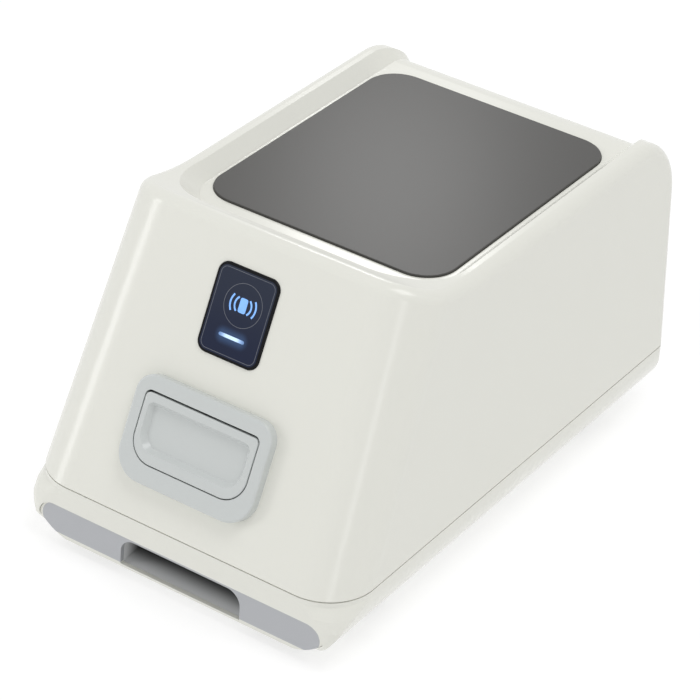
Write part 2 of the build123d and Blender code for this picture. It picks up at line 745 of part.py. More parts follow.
def seam_ring(outer, inner, low, high):
    """Band that follows the inside of the cover between two heights."""
    sides = []
    for inset in (outer, inner):
        plans = [cover_outline(height, inset, RIM_RADIUS - inset) for height in (low, high)]
        sides.append(loft(plans, ruled=True))
    return sides[0] - sides[1]


def lower_housing():
    """Tray-like base with a tongue for the cover, posts for the screws and the opening for the insert."""
    tongue = WALL + TONGUE_FIT
    body = base_block(0) - base_block(WALL)
    body = body - block((-WIDTH, WIDTH), (-OVERRUN, DEPTH + OVERRUN), (-SEAM_GAP, OVERRUN))
    body = body + seam_ring(WALL * LEDGE_SHARE, tongue + TONGUE_WALL, -TONGUE_RISE, -SEAM_GAP)
    body = body + seam_ring(tongue, tongue + TONGUE_WALL, -TONGUE_RISE, TONGUE_RISE)
    outer = base_block(0)
    for x, depth in housing_posts():
        tower = post(x, depth, (-BASE_HEIGHT, -SEAM_GAP), HOUSING_BOSS_RADIUS) & outer
        hole = post(x, depth, (-BASE_HEIGHT, OVERRUN), SCREW_RADIUS + FIT)
        seat = post(x, depth, (-BASE_HEIGHT - OVERRUN, SCREW_SEAT), SCREW_HEAD_RADIUS + FIT)
        body = (body + tower) - hole - seat
    floor = WALL - BASE_HEIGHT - WALL / 2
    for x, depth in chassis_posts():
        tower = post(x, depth, (floor, CHASSIS_TOP - CHASSIS_THICKNESS), CHASSIS_POST_RADIUS) & outer
        hole = post(x, depth, (floor + WALL, OVERRUN + CHASSIS_TOP), BOARD_SCREW_RADIUS + RUNNING_FIT)
        body = (body + tower) - hole
    return body - through(insert_outline(INSERT_FIT), -OVERRUN, FRONT_CORNER)


def housing_posts():
    """Places of the housing screws."""
    x = WIDTH / 2 - HOUSING_POST_INSET
    return [(side * x, depth) for depth in (HOUSING_POST_FRONT, DEPTH - HOUSING_POST_REAR) for side in (-1, 1)]


def chassis_posts():
    """Places of the chassis screws."""
    depths = (*CHASSIS_POST_DEPTHS, DEPTH - CHASSIS_POST_REAR)
    return [(side * CHASSIS_POST_X, depth) for depth in depths for side in (-1, 1)]


def insert_outline(margin):
    """Front view of the grey insert: round ends, and a low edge that follows the base."""
    height = INSERT_TOP - INSERT_LOW
    length = 2 * (INSERT_HALF_WIDTH + margin)
    capsule = Pos(0, INSERT_LOW + height / 2) * SlotOverall(length, height + 2 * margin)
    lip = INSERT_LIP - margin
    half = WIDTH / 2 - lip
    return capsule & rounded((-half, half), (lip - BASE_HEIGHT, OVERRUN), BASE_EDGE_RADIUS - lip, 0)


def outlet_bezel():
    """Grey insert that wraps round the front corners, with the outlet slot."""
    inner = INSERT_RECESS + INSERT_THICKNESS
    shell = base_column(INSERT_RECESS, -BASE_HEIGHT) - base_column(inner, -BASE_HEIGHT)
    shell = shell & through(insert_outline(0), -OVERRUN, FRONT_CORNER)
    slot = rounded(span(SLOT_X, SLOT_WIDTH), (SLOT_FLOOR, SLOT_TOP), 0, SLOT_CORNER)
    return shell - through(slot, -OVERRUN, FRONT_CORNER)


def outlet_tray():
    """Ramp behind the slot on which the plates come to rest."""
    start = INSERT_RECESS + INSERT_THICKNESS + INSERT_FIT
    end = start + TRAY_LENGTH
    rise = SLOT_FLOOR + TRAY_RISE
    floor = Polygon(
        (start, SLOT_FLOOR), (end, rise), (end, rise - TRAY_WALL), (start, SLOT_FLOOR - TRAY_WALL), align=None
    )
    side = Polygon(
        (start, SLOT_FLOOR),
        (end, rise),
        (end, rise + TRAY_WALL),
        (end - TRAY_SIDE_HEIGHT, SLOT_FLOOR + TRAY_SIDE_HEIGHT),
        (start, SLOT_FLOOR + TRAY_SIDE_HEIGHT),
        align=None,
    )
    low, high = span(SLOT_X, SLOT_WIDTH)
    low_side = prism(SIDE, side + floor, low - TRAY_WALL, low)
    high_side = prism(SIDE, side + floor, high, high + TRAY_WALL)
    foot_depth = span(end - TRAY_WALL, TRAY_WALL)
    foot = block((low - TRAY_WALL, high + TRAY_WALL), foot_depth, (WALL - BASE_HEIGHT, rise - TRAY_WALL / 2))
    front_foot = block(
        (low, high), (start, start + TRAY_WALL), (WALL - BASE_HEIGHT, SLOT_FLOOR - TRAY_WALL / 2)
    )
    return prism(SIDE, floor, low, high) + low_side + high_side + foot + front_foot


def feet():
    """Four rubber feet whose tops follow the base."""
    base = base_block(0)
    pads = []
    for depth in (FOOT_FRONT, DEPTH - FOOT_REAR):
        for x in grown((-WIDTH / 2, WIDTH / 2), -FOOT_INSET):
            low = -SEAM_Z
            pad = post(x, depth, (low, low + BASE_HEIGHT / 2), FOOT_RADIUS)
            pad = fillet(pad.faces().sort_by(Axis.Z)[0].edges(), FOOT_EDGE_RADIUS)
            pads.append(pad - base)
    return group(pads)


def housing_screws():
    """Four screws from below, each with a hexagon socket in its head."""
    screws = []
    low = SCREW_SEAT - SCREW_HEAD_HEIGHT
    for x, depth in housing_posts():
        head = post(x, depth, (low, SCREW_SEAT), SCREW_HEAD_RADIUS)
        shank = post(x, depth, (SCREW_SEAT, SCREW_REACH), SCREW_RADIUS)
        place = PLAN.offset(low) * Pos(x, depth) * RegularPolygon(SCREW_DRIVE_RADIUS, 6)
        screws.append((head + shank) - extrude(place, amount=SCREW_DRIVE_DEPTH))
    return group(screws)


def small_screws(places, radius, head, rise, length):
    """Round-headed screws that stand on a seat, each given by its seat plane."""
    screws = []
    for seat in map(Plane, places):
        cap = extrude(seat * Circle(head), amount=rise)
        cap = fillet(cap.faces().sort_by(Axis(seat.origin, seat.z_dir))[-1].edges(), rise / 2)
        screws.append(cap + extrude(seat * Circle(radius), amount=-length))
    return group(screws)


def transport():
    """Range between the two side frames."""
    return span(TRANSPORT_X, TRANSPORT_WIDTH)


def roller_places():
    """Depth and height of the drive shafts and of the pinch shafts, upper one first."""
    drive = PATH_DEPTH + NIP / 2 + DRIVE_RADIUS
    pinch = PATH_DEPTH - NIP / 2 - PINCH_RADIUS
    return [(depth, height) for depth in (drive, pinch) for height in (UPPER_ROLLER, LOWER_ROLLER)]


def side_frame(side):
    """Upright plate of the plate transport with a foot on the chassis."""
    low, high = transport()
    inner = high if side > 0 else low
    outer = inner + side * FRAME_THICKNESS
    corners = [(depth, CHASSIS_TOP + height) for depth, height in FRAME_OUTLINE]
    outline = Polygon(*corners, align=None)
    outline = fillet([v for v in outline.vertices() if v.Y > CHASSIS_TOP + FRAME_CORNER], FRAME_CORNER)
    plate = prism(SIDE, outline, *sorted((inner, outer)))
    for depth, height in roller_places():
        plate = plate - rod(grown(sorted((inner, outer)), OVERRUN), depth, height, BUSH_RADIUS)
    return plate


def roller_bushes():
    """Eight flanged bushes for the four shafts."""
    bushes = []
    for inner, side in zip(transport(), (-1, 1)):
        outer = inner + side * FRAME_THICKNESS
        flange = inner - side * BUSH_FLANGE
        for depth, height in roller_places():
            sleeve = rod(sorted((flange, outer)), depth, height, BUSH_RADIUS - FIT / 2)
            collar = rod(sorted((flange, inner)), depth, height, BUSH_FLANGE_RADIUS)
            bore = rod(grown(transport(), WALL + FRAME_THICKNESS), depth, height, SHAFT_RADIUS + RUNNING_FIT)
            bushes.append((sleeve + collar) - bore)
    return group(bushes)


def shaft(index):
    """Steel shaft; the two drive shafts reach out to their pulleys."""
    depth, height = roller_places()[index]
    low, high = grown(transport(), FRAME_THICKNESS + SHAFT_END)
    if index < 2:
        low = pulley_span()[0] - SHAFT_END
    return rod((low, high), depth, height, SHAFT_RADIUS)


def tyres(index, radius):
    """Three rubber tyres on one shaft."""
    depth, height = roller_places()[index]
    rings = []
    for count in range(TYRE_COUNT):
        middle = TRANSPORT_X + (count - (TYRE_COUNT - 1) / 2) * TYRE_PITCH
        ring = rod(span(middle, TYRE_LENGTH), depth, height, radius)
        bore = rod(span(middle, TYRE_LENGTH + OVERRUN), depth, height, SHAFT_RADIUS + RUNNING_FIT)
        rings.append(ring - bore)
    return group(rings)


def sheet(points, shift, thickness):
    """Bent sheet between the side frames, thickened towards one side and downwards."""
    back = [(depth + shift * thickness, height - thickness) for depth, height in points]
    outline = Polygon(*points, *reversed(back), align=None)
    return prism(SIDE, outline, *transport())


def windows(index, radius):
    """Openings of a guide for the tyres of one shaft."""
    depth, height = roller_places()[index]
    middle = span(TRANSPORT_X, (TYRE_COUNT - 1) * TYRE_PITCH + TYRE_LENGTH + 2 * GUIDE_WINDOW_FIT)
    ends = rod(transport(), depth, height, BUSH_FLANGE_RADIUS + GUIDE_WINDOW_FIT)
    ends = ends - rod(grown(transport(), -BUSH_FLANGE - GUIDE_WINDOW_FIT), depth, height, PULLEY_RADIUS)
    return rod(middle, depth, height, radius + GUIDE_WINDOW_FIT) + ends


def front_guide():
    """Front sheet of the plate path, bent forward to the lip of the loading door."""
    near = PATH_DEPTH - GUIDE_GAP / 2
    guide = sheet([(near, GUIDE_LOW), (near, RAMP_FOOT), RAMP_TOP], -1, GUIDE_THICKNESS)
    return guide - windows(2, PINCH_RADIUS) - windows(3, PINCH_RADIUS)


def rear_guide():
    """Rear sheet of the plate path, opened out above into a funnel, with the slit for the laser."""
    near = PATH_DEPTH + GUIDE_GAP / 2
    guide = sheet([(near, GUIDE_LOW), (near, FUNNEL_FOOT), FUNNEL_TOP], 1, GUIDE_THICKNESS)
    slit = rounded(span(TRANSPORT_X, COLLECTOR_WIDTH), span(SCAN_HEIGHT, SCAN_SLIT), 0, 0)
    guide = guide - windows(0, DRIVE_RADIUS) - windows(1, DRIVE_RADIUS)
    return guide - through(slit, PATH_DEPTH, COLLECTOR_FRONT + OVERRUN)


def pulley_span():
    """Range of the pulleys outside the left frame."""
    high = transport()[0] - FRAME_THICKNESS - PULLEY_SPACE
    return (high - PULLEY_WIDTH, high)


def pulley(depth, height, radius):
    """Flanged pulley with a bore for its shaft."""
    x = pulley_span()
    wheel = rod(x, depth, height, radius + PULLEY_FLANGE)
    groove = rod(grown(x, -PULLEY_FLANGE_THICKNESS), depth, height, radius + PULLEY_FLANGE + OVERRUN)
    groove = groove - rod(grown(x, -PULLEY_FLANGE_THICKNESS), depth, height, radius)
    return wheel - groove - rod(grown(x, OVERRUN), depth, height, SHAFT_RADIUS + RUNNING_FIT)


def timing_belt():
    """Belt around the two pulleys of the rollers and the pulley of the motor."""
    places = [(*roller_places()[0], PULLEY_RADIUS), (*roller_places()[1], PULLEY_RADIUS)]
    places.append((MOTOR_DEPTH, MOTOR_HEIGHT, MOTOR_PULLEY_RADIUS))
    x = span(sum(pulley_span()) / 2, BELT_WIDTH)
    rings = []
    for margin in (BELT_FIT + BELT_THICKNESS, BELT_FIT):
        circles = [Pos(depth, height) * Circle(radius + margin) for depth, height, radius in places]
        rings.append(prism(SIDE, make_hull(Sketch(children=circles).edges()), *x))
    return rings[0] - rings[1]


def motor_bracket():
    """Upright plate between the pulleys and the motor, with a foot under the motor."""
    high = pulley_span()[0] - PULLEY_SPACE
    half = MOTOR_SIZE / 2 + BRACKET_MARGIN
    depth = span(MOTOR_DEPTH, 2 * half)
    plate = block((high - BRACKET_THICKNESS, high), depth, (CHASSIS_TOP, MOTOR_HEIGHT + half))
    foot = block((high - BRACKET_FOOT, high), depth, (CHASSIS_TOP, CHASSIS_TOP + BRACKET_THICKNESS))
    hole = rod(grown((high - BRACKET_THICKNESS, high), OVERRUN), MOTOR_DEPTH, MOTOR_HEIGHT, MOTOR_SPIGOT_RADIUS)
    return plate + foot - hole


def motor_span():
    """Range of the motor from its rear end to its face on the bracket."""
    return (MOTOR_SIDE_ROOM - WIDTH / 2, pulley_span()[0] - PULLEY_SPACE - BRACKET_THICKNESS)


def stepper_motor():
    """Square motor with a round spigot in the bracket."""
    end, face = motor_span()
    depth = span(MOTOR_DEPTH, MOTOR_SIZE)
    height = span(MOTOR_HEIGHT, MOTOR_SIZE)
    can = prism(SIDE, rounded(depth, height, MOTOR_CORNER, MOTOR_CORNER), end, face)
    spigot = rod((face, face + BRACKET_THICKNESS), MOTOR_DEPTH, MOTOR_HEIGHT, MOTOR_SPIGOT_RADIUS - FIT)
    x = ((end + face) / 2, face + OVERRUN)
    bore = rod(x, MOTOR_DEPTH, MOTOR_HEIGHT, SHAFT_RADIUS + RUNNING_FIT)
    return can + spigot - bore


def motor_shaft():
    """Shaft from the motor to its pulley."""
    start = sum(motor_span()) / 2 + FIT
    return rod((start, pulley_span()[1]), MOTOR_DEPTH, MOTOR_HEIGHT, SHAFT_RADIUS)


def chassis_plate():
    """Sheet that carries the inside, open at the front for the outlet tray."""
    x = (-CHASSIS_HALF_WIDTH, CHASSIS_HALF_WIDTH)
    depth = (CHASSIS_FRONT, DEPTH - CHASSIS_REAR_ROOM)
    outline = rounded(x, depth, CHASSIS_CORNER, CHASSIS_CORNER)
    low = CHASSIS_TOP - CHASSIS_THICKNESS
    plate = prism(PLAN, outline, low, CHASSIS_TOP)
    room = grown(span(SLOT_X, SLOT_WIDTH), TRAY_WALL + CHASSIS_TRAY_ROOM)
    end = INSERT_RECESS + INSERT_THICKNESS + TRAY_LENGTH + OVERRUN
    cut = (low - OVERRUN, CHASSIS_TOP + OVERRUN)
    plate = plate - block(room, (0, end), cut)
    drive = roller_places()[1][0]
    reach = PULLEY_RADIUS + PULLEY_FLANGE + PULLEY_ROOM
    pit = (drive - reach, MOTOR_DEPTH - MOTOR_SIZE / 2)
    plate = plate - block(grown(pulley_span(), PULLEY_ROOM), pit, cut)
    for x, depth in chassis_posts():
        plate = plate - post(x, depth, cut, BOARD_SCREW_RADIUS + FIT)
    return plate


def chassis_screws():
    """Six screws that hold the chassis."""
    places = [PLAN.offset(CHASSIS_TOP) * Pos(x, depth) for x, depth in chassis_posts()]
    length = CHASSIS_THICKNESS + WALL
    return small_screws(places, BOARD_SCREW_RADIUS, BOARD_SCREW_HEAD, BOARD_SCREW_RISE, length)


def optics_place():
    """Ranges of x and depth of the optics housing."""
    return (-OPTICS_HALF_WIDTH, OPTICS_HALF_WIDTH), (OPTICS_FRONT, OPTICS_FRONT + OPTICS_LENGTH)


def optics_housing():
    """Dark box for the laser, the turning mirror and the lens, with a window in its front wall."""
    x, depth = optics_place()
    top = CHASSIS_TOP + OPTICS_HEIGHT
    box = prism(PLAN, rounded(x, depth, OPTICS_CORNER, OPTICS_CORNER), CHASSIS_TOP, top)
    corner = OPTICS_CORNER - OPTICS_WALL
    room = rounded(grown(x, -OPTICS_WALL), grown(depth, -OPTICS_WALL), corner, corner)
    floor = CHASSIS_TOP + OPTICS_WALL
    box = box - prism(PLAN, room, floor, top + OVERRUN)
    window = rounded(span(0, OPTICS_WINDOW_WIDTH), span(SCAN_HEIGHT, OPTICS_WINDOW_HEIGHT), 0, 0)
    box = box - through(window, OPTICS_FRONT - OVERRUN, OPTICS_FRONT + OPTICS_WALL + OVERRUN)
    lens_foot = block(
        span(0, LENS_WIDTH), (LENS_DEPTH, LENS_DEPTH + LENS_EDGE), (floor, SCAN_HEIGHT - LENS_HEIGHT / 2)
    )
    laser_depth = MIRROR_DEPTH - MIRROR_RADIUS / 2
    laser_x = (LASER_X + LASER_NOSE, LASER_X + LASER_NOSE + LASER_MOUNT_WIDTH)
    mount = block(laser_x, span(laser_depth, 2 * LASER_RADIUS + 2 * OPTICS_WALL), (floor, SCAN_HEIGHT))
    mount = mount - rod(grown(laser_x, OVERRUN), laser_depth, SCAN_HEIGHT, LASER_RADIUS + FIT)
    return box + lens_foot + mount


def optics_cover():
    """Lid of the optics housing."""
    x, depth = optics_place()
    low = CHASSIS_TOP + OPTICS_HEIGHT
    lid = prism(PLAN, rounded(x, depth, OPTICS_CORNER, OPTICS_CORNER), low, low + LID_THICKNESS)
    inner = OPTICS_CORNER - OPTICS_WALL
    lip = rounded(grown(x, -OPTICS_WALL - FIT), grown(depth, -OPTICS_WALL - FIT), inner, inner)
    return lid + prism(PLAN, lip, low - LID_THICKNESS, low)


def scan_mirror():
    """Six-sided mirror with a spindle."""
    low, high = span(SCAN_HEIGHT, MIRROR_THICKNESS)
    outline = PLAN.offset(low) * Pos(0, MIRROR_DEPTH) * RegularPolygon(MIRROR_RADIUS, MIRROR_SIDES)
    reach = (low - MIRROR_THICKNESS, high + MIRROR_THICKNESS / 2)
    return extrude(outline, amount=high - low) + post(0, MIRROR_DEPTH, reach, MIRROR_SPINDLE_RADIUS)


def mirror_motor():
    """Low round motor under the mirror."""
    high = SCAN_HEIGHT - MIRROR_THICKNESS / 2 - MIRROR_MOTOR_GAP
    floor = CHASSIS_TOP + OPTICS_WALL
    can = post(0, MIRROR_DEPTH, (floor, high), MIRROR_MOTOR_RADIUS)
    bore = (high - MIRROR_THICKNESS, high + OVERRUN)
    return can - post(0, MIRROR_DEPTH, bore, MIRROR_SPINDLE_RADIUS + RUNNING_FIT)


def laser_module():
    """Round laser with a narrow nose, aimed across at a facet of the mirror."""
    depth = MIRROR_DEPTH - MIRROR_RADIUS / 2
    start = LASER_X + LASER_NOSE
    barrel = rod((start, LASER_X + LASER_LENGTH), depth, SCAN_HEIGHT, LASER_RADIUS)
    nose = rod((LASER_X, start), depth, SCAN_HEIGHT, LASER_RADIUS / 2)
    return barrel + nose


def scan_lens():
    """Lens with a flat front and a crowned back."""
    half = LENS_WIDTH / 2
    back = LENS_DEPTH + LENS_EDGE
    lines = [
        Polyline((-half, back), (-half, LENS_DEPTH), (half, LENS_DEPTH), (half, back)),
        ThreePointArc((half, back), (0, back + LENS_CROWN), (-half, back)),
    ]
    low, high = span(SCAN_HEIGHT, LENS_HEIGHT)
    return prism(PLAN, make_face(lines), low, high)


def light_guide():
    """Clear collector that narrows from the scan slit to the photomultiplier."""
    low = COLLECTOR_LOW
    high = low + COLLECTOR_THICKNESS
    edge = rounded(span(TRANSPORT_X, COLLECTOR_WIDTH), (low, high), 0, 0)
    blade = through(edge, COLLECTOR_FRONT, COLLECTOR_BEND)
    end = Pos(0, TUBE_HEIGHT) * Rectangle(COLLECTOR_END_SIZE, COLLECTOR_END_SIZE)
    throat = loft([FACING.offset(-COLLECTOR_BEND) * edge, FACING.offset(-COLLECTOR_END) * end], ruled=True)
    return blade + throat


def photomultiplier():
    """Glass tube in a wider socket."""
    start = COLLECTOR_END + SLEEVE_FIT
    end = start + TUBE_LENGTH
    tube = bar(0, (start, end), TUBE_HEIGHT, TUBE_RADIUS)
    return tube + bar(0, (end, end + TUBE_BASE_LENGTH), TUBE_HEIGHT, TUBE_BASE_RADIUS)


def photomultiplier_bracket():
    """Ring around the tube on two legs that stand clear of the laser's fan."""
    start = COLLECTOR_END + TUBE_LENGTH / 2
    depth = (start, start + TUBE_MOUNT_WIDTH)
    outer = TUBE_MOUNT_HALF + TUBE_MOUNT_LEG
    top = TUBE_HEIGHT + TUBE_RADIUS + TUBE_MOUNT_LEG
    low = TUBE_HEIGHT - TUBE_RADIUS - TUBE_MOUNT_LEG / 2
    head = through(rounded((-outer, outer), (low, top), 0, TUBE_MOUNT_HALF / 2), *depth)
    head = head - bar(0, grown(depth, OVERRUN), TUBE_HEIGHT, TUBE_RADIUS + FIT)
    legs = []
    for side in (-1, 1):
        x = sorted((side * TUBE_MOUNT_HALF, side * outer))
        legs.append(block(x, depth, (CHASSIS_TOP, low)))
    return joined([head, *legs])


def erase_holder():
    """Channel between the side frames, open below, for the erasing lamps."""
    x = transport()
    depth = (LAMP_DEPTH, LAMP_DEPTH + LAMP_WIDTH)
    top = LAMP_LOW + LAMP_HEIGHT
    room = block(grown(x, OVERRUN), grown(depth, -LAMP_WALL), (LAMP_LOW - OVERRUN, top - LAMP_WALL))
    return block(x, depth, (LAMP_LOW, top)) - room


def erase_board():
    """Long board under the roof of the channel."""
    depth = grown((LAMP_DEPTH, LAMP_DEPTH + LAMP_WIDTH), -LAMP_WALL - FIT)
    top = LAMP_LOW + LAMP_HEIGHT - LAMP_WALL
    return block(grown(transport(), -LAMP_WALL), depth, (top - LAMP_BOARD_THICKNESS, top))


def erase_lamps():
    """Row of lamps that shine down on the plates."""
    top = LAMP_LOW + LAMP_HEIGHT - LAMP_WALL - LAMP_BOARD_THICKNESS
    lamps = []
    for count in range(LED_COUNT):
        x = TRANSPORT_X + (count - (LED_COUNT - 1) / 2) * LED_PITCH
        depth = span(LAMP_DEPTH + LAMP_WIDTH / 2, LED_SIZE)
        lamps.append(block(span(x, LED_SIZE), depth, (top - LED_HEIGHT, top)))
    return group(lamps)


def board_places():
    """Places of the standoffs of the main board."""
    _, depth = optics_place()
    x = grown(span(0, MAIN_BOARD_WIDTH), -STANDOFF_INSET)
    limits = grown(span(sum(depth) / 2, MAIN_BOARD_LENGTH), -STANDOFF_INSET)
    half = min(x[1], OPTICS_HALF_WIDTH - STANDOFF_INSET)
    return [(side, middle) for side in (-half, half) for middle in limits]


def board_standoffs():
    """Four pillars between the optics cover and the main board."""
    low = CHASSIS_TOP + OPTICS_HEIGHT + LID_THICKNESS
    pillars = []
    for x, depth in board_places():
        pillar = post(x, depth, (low, low + STANDOFF_HEIGHT), STANDOFF_RADIUS)
        bore = (low + STANDOFF_HEIGHT / 4, low + STANDOFF_HEIGHT + OVERRUN)
        pillars.append(pillar - post(x, depth, bore, BOARD_SCREW_RADIUS + FIT))
    return group(pillars)


def main_board():
    """Board over the optics with its larger parts."""
    _, depth = optics_place()
    low = CHASSIS_TOP + OPTICS_HEIGHT + LID_THICKNESS + STANDOFF_HEIGHT
    x = span(0, MAIN_BOARD_WIDTH)
    limits = span(sum(depth) / 2, MAIN_BOARD_LENGTH)
    board = block(x, limits, (low, low + BOARD_THICKNESS))
    for place, drop in board_places():
        board = board - post(place, drop, (low - OVERRUN, low + OVERRUN), BOARD_SCREW_RADIUS + FIT)
    top = low + BOARD_THICKNESS
    for near, wide, deep, high in CHIPS:
        middle = limits[0] + near[1]
        board = board + block(span(near[0], wide), span(middle, deep), (top, top + high))
    return board


def board_screws():
    """Four screws of the main board."""
    top = CHASSIS_TOP + OPTICS_HEIGHT + LID_THICKNESS + STANDOFF_HEIGHT + BOARD_THICKNESS
    places = [PLAN.offset(top) * Pos(x, depth) for x, depth in board_places()]
    length = BOARD_THICKNESS + STANDOFF_HEIGHT / 2
    return small_screws(places, BOARD_SCREW_RADIUS, BOARD_SCREW_HEAD, BOARD_SCREW_RISE, length)


def connector_board():
    """Upright board behind the sockets, with a foot on the chassis."""
    half = REAR_OPENING_HALF - REAR_BOARD_SIDE_ROOM
    start = REAR_BOARD_DEPTH - BOARD_THICKNESS
    board = block((-half, half), (start, REAR_BOARD_DEPTH), (CHASSIS_TOP, REAR_BOARD_TOP))
    height = (CHASSIS_TOP, CHASSIS_TOP + BOARD_THICKNESS)
    return board + block((-half, half), (start - REAR_BOARD_FOOT, start), height)


def rear_opening():
    """Opening behind the rear panel, with holes for its screws."""
    x = (-REAR_OPENING_HALF, REAR_OPENING_HALF)
    outline = rounded(x, (REAR_OPENING_LOW, REAR_OPENING_HIGH), REAR_PANEL_CORNER, REAR_PANEL_CORNER)
    opening = through(outline, CHANNEL_REAR - WALL - OVERRUN, CHANNEL_REAR + OVERRUN)
    limits = (CHANNEL_REAR - WALL - OVERRUN, CHANNEL_REAR + OVERRUN)
    holes = [bar(x, limits, height, PANEL_SCREW_RADIUS + RUNNING_FIT) for x, height in panel_screw_places()]
    return joined([opening, *holes])


def panel_screw_places():
    """Places of the four screws of the rear panel."""
    inset = REAR_PANEL_MARGIN - PANEL_SCREW_INSET
    x = grown((-REAR_OPENING_HALF, REAR_OPENING_HALF), inset)
    heights = grown((REAR_OPENING_LOW, REAR_OPENING_HIGH), inset)
    return [(side, height) for side in x for height in heights]


def rear_panel():
    """Dark plate on the back with vents and the openings for the sockets and the switch."""
    x = grown((-REAR_OPENING_HALF, REAR_OPENING_HALF), REAR_PANEL_MARGIN)
    height = grown((REAR_OPENING_LOW, REAR_OPENING_HIGH), REAR_PANEL_MARGIN)
    limits = (CHANNEL_REAR, CHANNEL_REAR + REAR_PANEL_THICKNESS)
    plate = through(rounded(x, height, REAR_PANEL_CORNER, REAR_PANEL_CORNER), *limits)
    cuts = [
        rounded(span(INLET_X, INLET_SIZE + 2 * FIT), span(PORT_HEIGHT, INLET_SIZE + 2 * FIT), 0, 0),
        socket_outline(FIT),
        rounded(span(SWITCH_X, SWITCH_WIDTH + 2 * FIT), span(PORT_HEIGHT, SWITCH_LENGTH + 2 * FIT), 0, 0),
    ]
    for count in range(VENT_COUNT):
        place = Pos((count - (VENT_COUNT - 1) / 2) * VENT_PITCH, VENT_LOW + VENT_LENGTH / 2)
        cuts.append(place * SlotOverall(VENT_LENGTH, VENT_WIDTH, rotation=RIGHT_ANGLE))
    for side, middle in panel_screw_places():
        cuts.append(Pos(side, middle) * Circle(PANEL_SCREW_RADIUS + FIT))
    return plate - joined([through(cut, limits[0] - OVERRUN, limits[1] + OVERRUN) for cut in cuts])


def rear_panel_screws():
    """Four screws of the rear panel."""
    back = Plane(origin=CORNER_POINT, x_dir=(-1, 0, 0), z_dir=(0, 1, 0))
    seat = back.offset(CHANNEL_REAR + REAR_PANEL_THICKNESS)
    places = [seat * Pos(-x, height) for x, height in panel_screw_places()]
    return small_screws(places, PANEL_SCREW_RADIUS, PANEL_SCREW_HEAD, PANEL_SCREW_RISE, PANEL_SCREW_LENGTH)


def power_inlet():
    """Square inlet with a round mouth and a centre pin; it stands on the connector board."""
    end = CHANNEL_REAR + REAR_PANEL_THICKNESS + PORT_PROUD
    body = through(
        rounded(span(INLET_X, INLET_SIZE), span(PORT_HEIGHT, INLET_SIZE), 0, 0), REAR_BOARD_DEPTH, end
    )
    floor = end - REAR_BOARD_FOOT
    body = body - bar(INLET_X, (floor, end + OVERRUN), PORT_HEIGHT, INLET_BORE)
    return body + bar(INLET_X, (floor, end - PORT_PROUD), PORT_HEIGHT, INLET_PIN)


def socket_outline(margin):
    """Outline of the data socket: two upper corners are cut off."""
    half = SOCKET_WIDTH / 2 + margin
    low = PORT_HEIGHT - SOCKET_HEIGHT / 2 - margin
    outline = rounded((SOCKET_X - half, SOCKET_X + half), (low, low + SOCKET_HEIGHT + 2 * margin), 0, 0)
    return chamfer(outline.vertices().group_by(Axis.Y)[-1], SOCKET_CHAMFER)


def data_socket():
    """Socket for the data cord with its tongue; it stands on the connector board."""
    end = CHANNEL_REAR + REAR_PANEL_THICKNESS + PORT_PROUD
    body = through(socket_outline(0), REAR_BOARD_DEPTH, end)
    floor = end - REAR_BOARD_FOOT
    mouth = offset(socket_outline(0), -SOCKET_WALL, kind=Kind.INTERSECTION)
    body = body - through(mouth, floor, end + OVERRUN)
    tongue = rounded(span(SOCKET_X, SOCKET_WIDTH / 2), span(PORT_HEIGHT, SOCKET_HEIGHT / 4), 0, 0)
    return body + through(tongue, floor - SOCKET_WALL, end - SOCKET_WALL)


def rocker_frame():
    """Frame of the power switch with a rim on the rear panel."""
    face = CHANNEL_REAR + REAR_PANEL_THICKNESS
    x = span(SWITCH_X, SWITCH_WIDTH)
    height = span(PORT_HEIGHT, SWITCH_LENGTH)
    body = block(x, (face - SWITCH_DEPTH, face), height)
    rim = rounded(grown(x, SWITCH_RIM), grown(height, SWITCH_RIM), SWITCH_RIM, SWITCH_RIM)
    rim = through(rim, face, face + SWITCH_RIM_THICKNESS)
    depth = (face - SWITCH_DEPTH + SOCKET_WALL, face + OVERRUN)
    room = block(grown(x, -SOCKET_WALL), depth, grown(height, -SOCKET_WALL))
    pin = rod(grown(x, -SOCKET_WALL / 2), rocker_axis(), PORT_HEIGHT, ROCKER_PIN_RADIUS + RUNNING_FIT)
    return (body + rim) - room - pin


def rocker_axis():
    """Depth of the axis on which the rocker tilts."""
    return CHANNEL_REAR + REAR_PANEL_THICKNESS - ROCKER_BODY / 2


def power_rocker():
    """Rocker with a shallow bend, tilted to its lower end."""
    face = CHANNEL_REAR + REAR_PANEL_THICKNESS + SWITCH_RIM_THICKNESS
    half = SWITCH_LENGTH / 2 - SOCKET_WALL - ROCKER_GAP - SWITCH_RIM / 2
    start = face - SWITCH_RIM_THICKNESS - ROCKER_BODY
    sink = half * tan(radians(ROCKER_TILT))
    outline = Polygon(
        (start, PORT_HEIGHT - half),
        (face + ROCKER_PROUD, PORT_HEIGHT - half),
        (face + ROCKER_PROUD - sink, PORT_HEIGHT),
        (face + ROCKER_PROUD, PORT_HEIGHT + half),
        (start, PORT_HEIGHT + half),
        align=None,
    )
    x = grown(span(SWITCH_X, SWITCH_WIDTH), -SOCKET_WALL - ROCKER_GAP)
    paddle = prism(SIDE, outline, *x)
    x = grown(span(SWITCH_X, SWITCH_WIDTH), -SOCKET_WALL / 2 - FIT)
    pin = rod(x, rocker_axis(), PORT_HEIGHT, ROCKER_PIN_RADIUS)
    axis = Axis((0, FRONT_Y + rocker_axis(), SEAM_Z + PORT_HEIGHT), (1, 0, 0))
    return (paddle + pin).rotate(axis, -ROCKER_TILT)


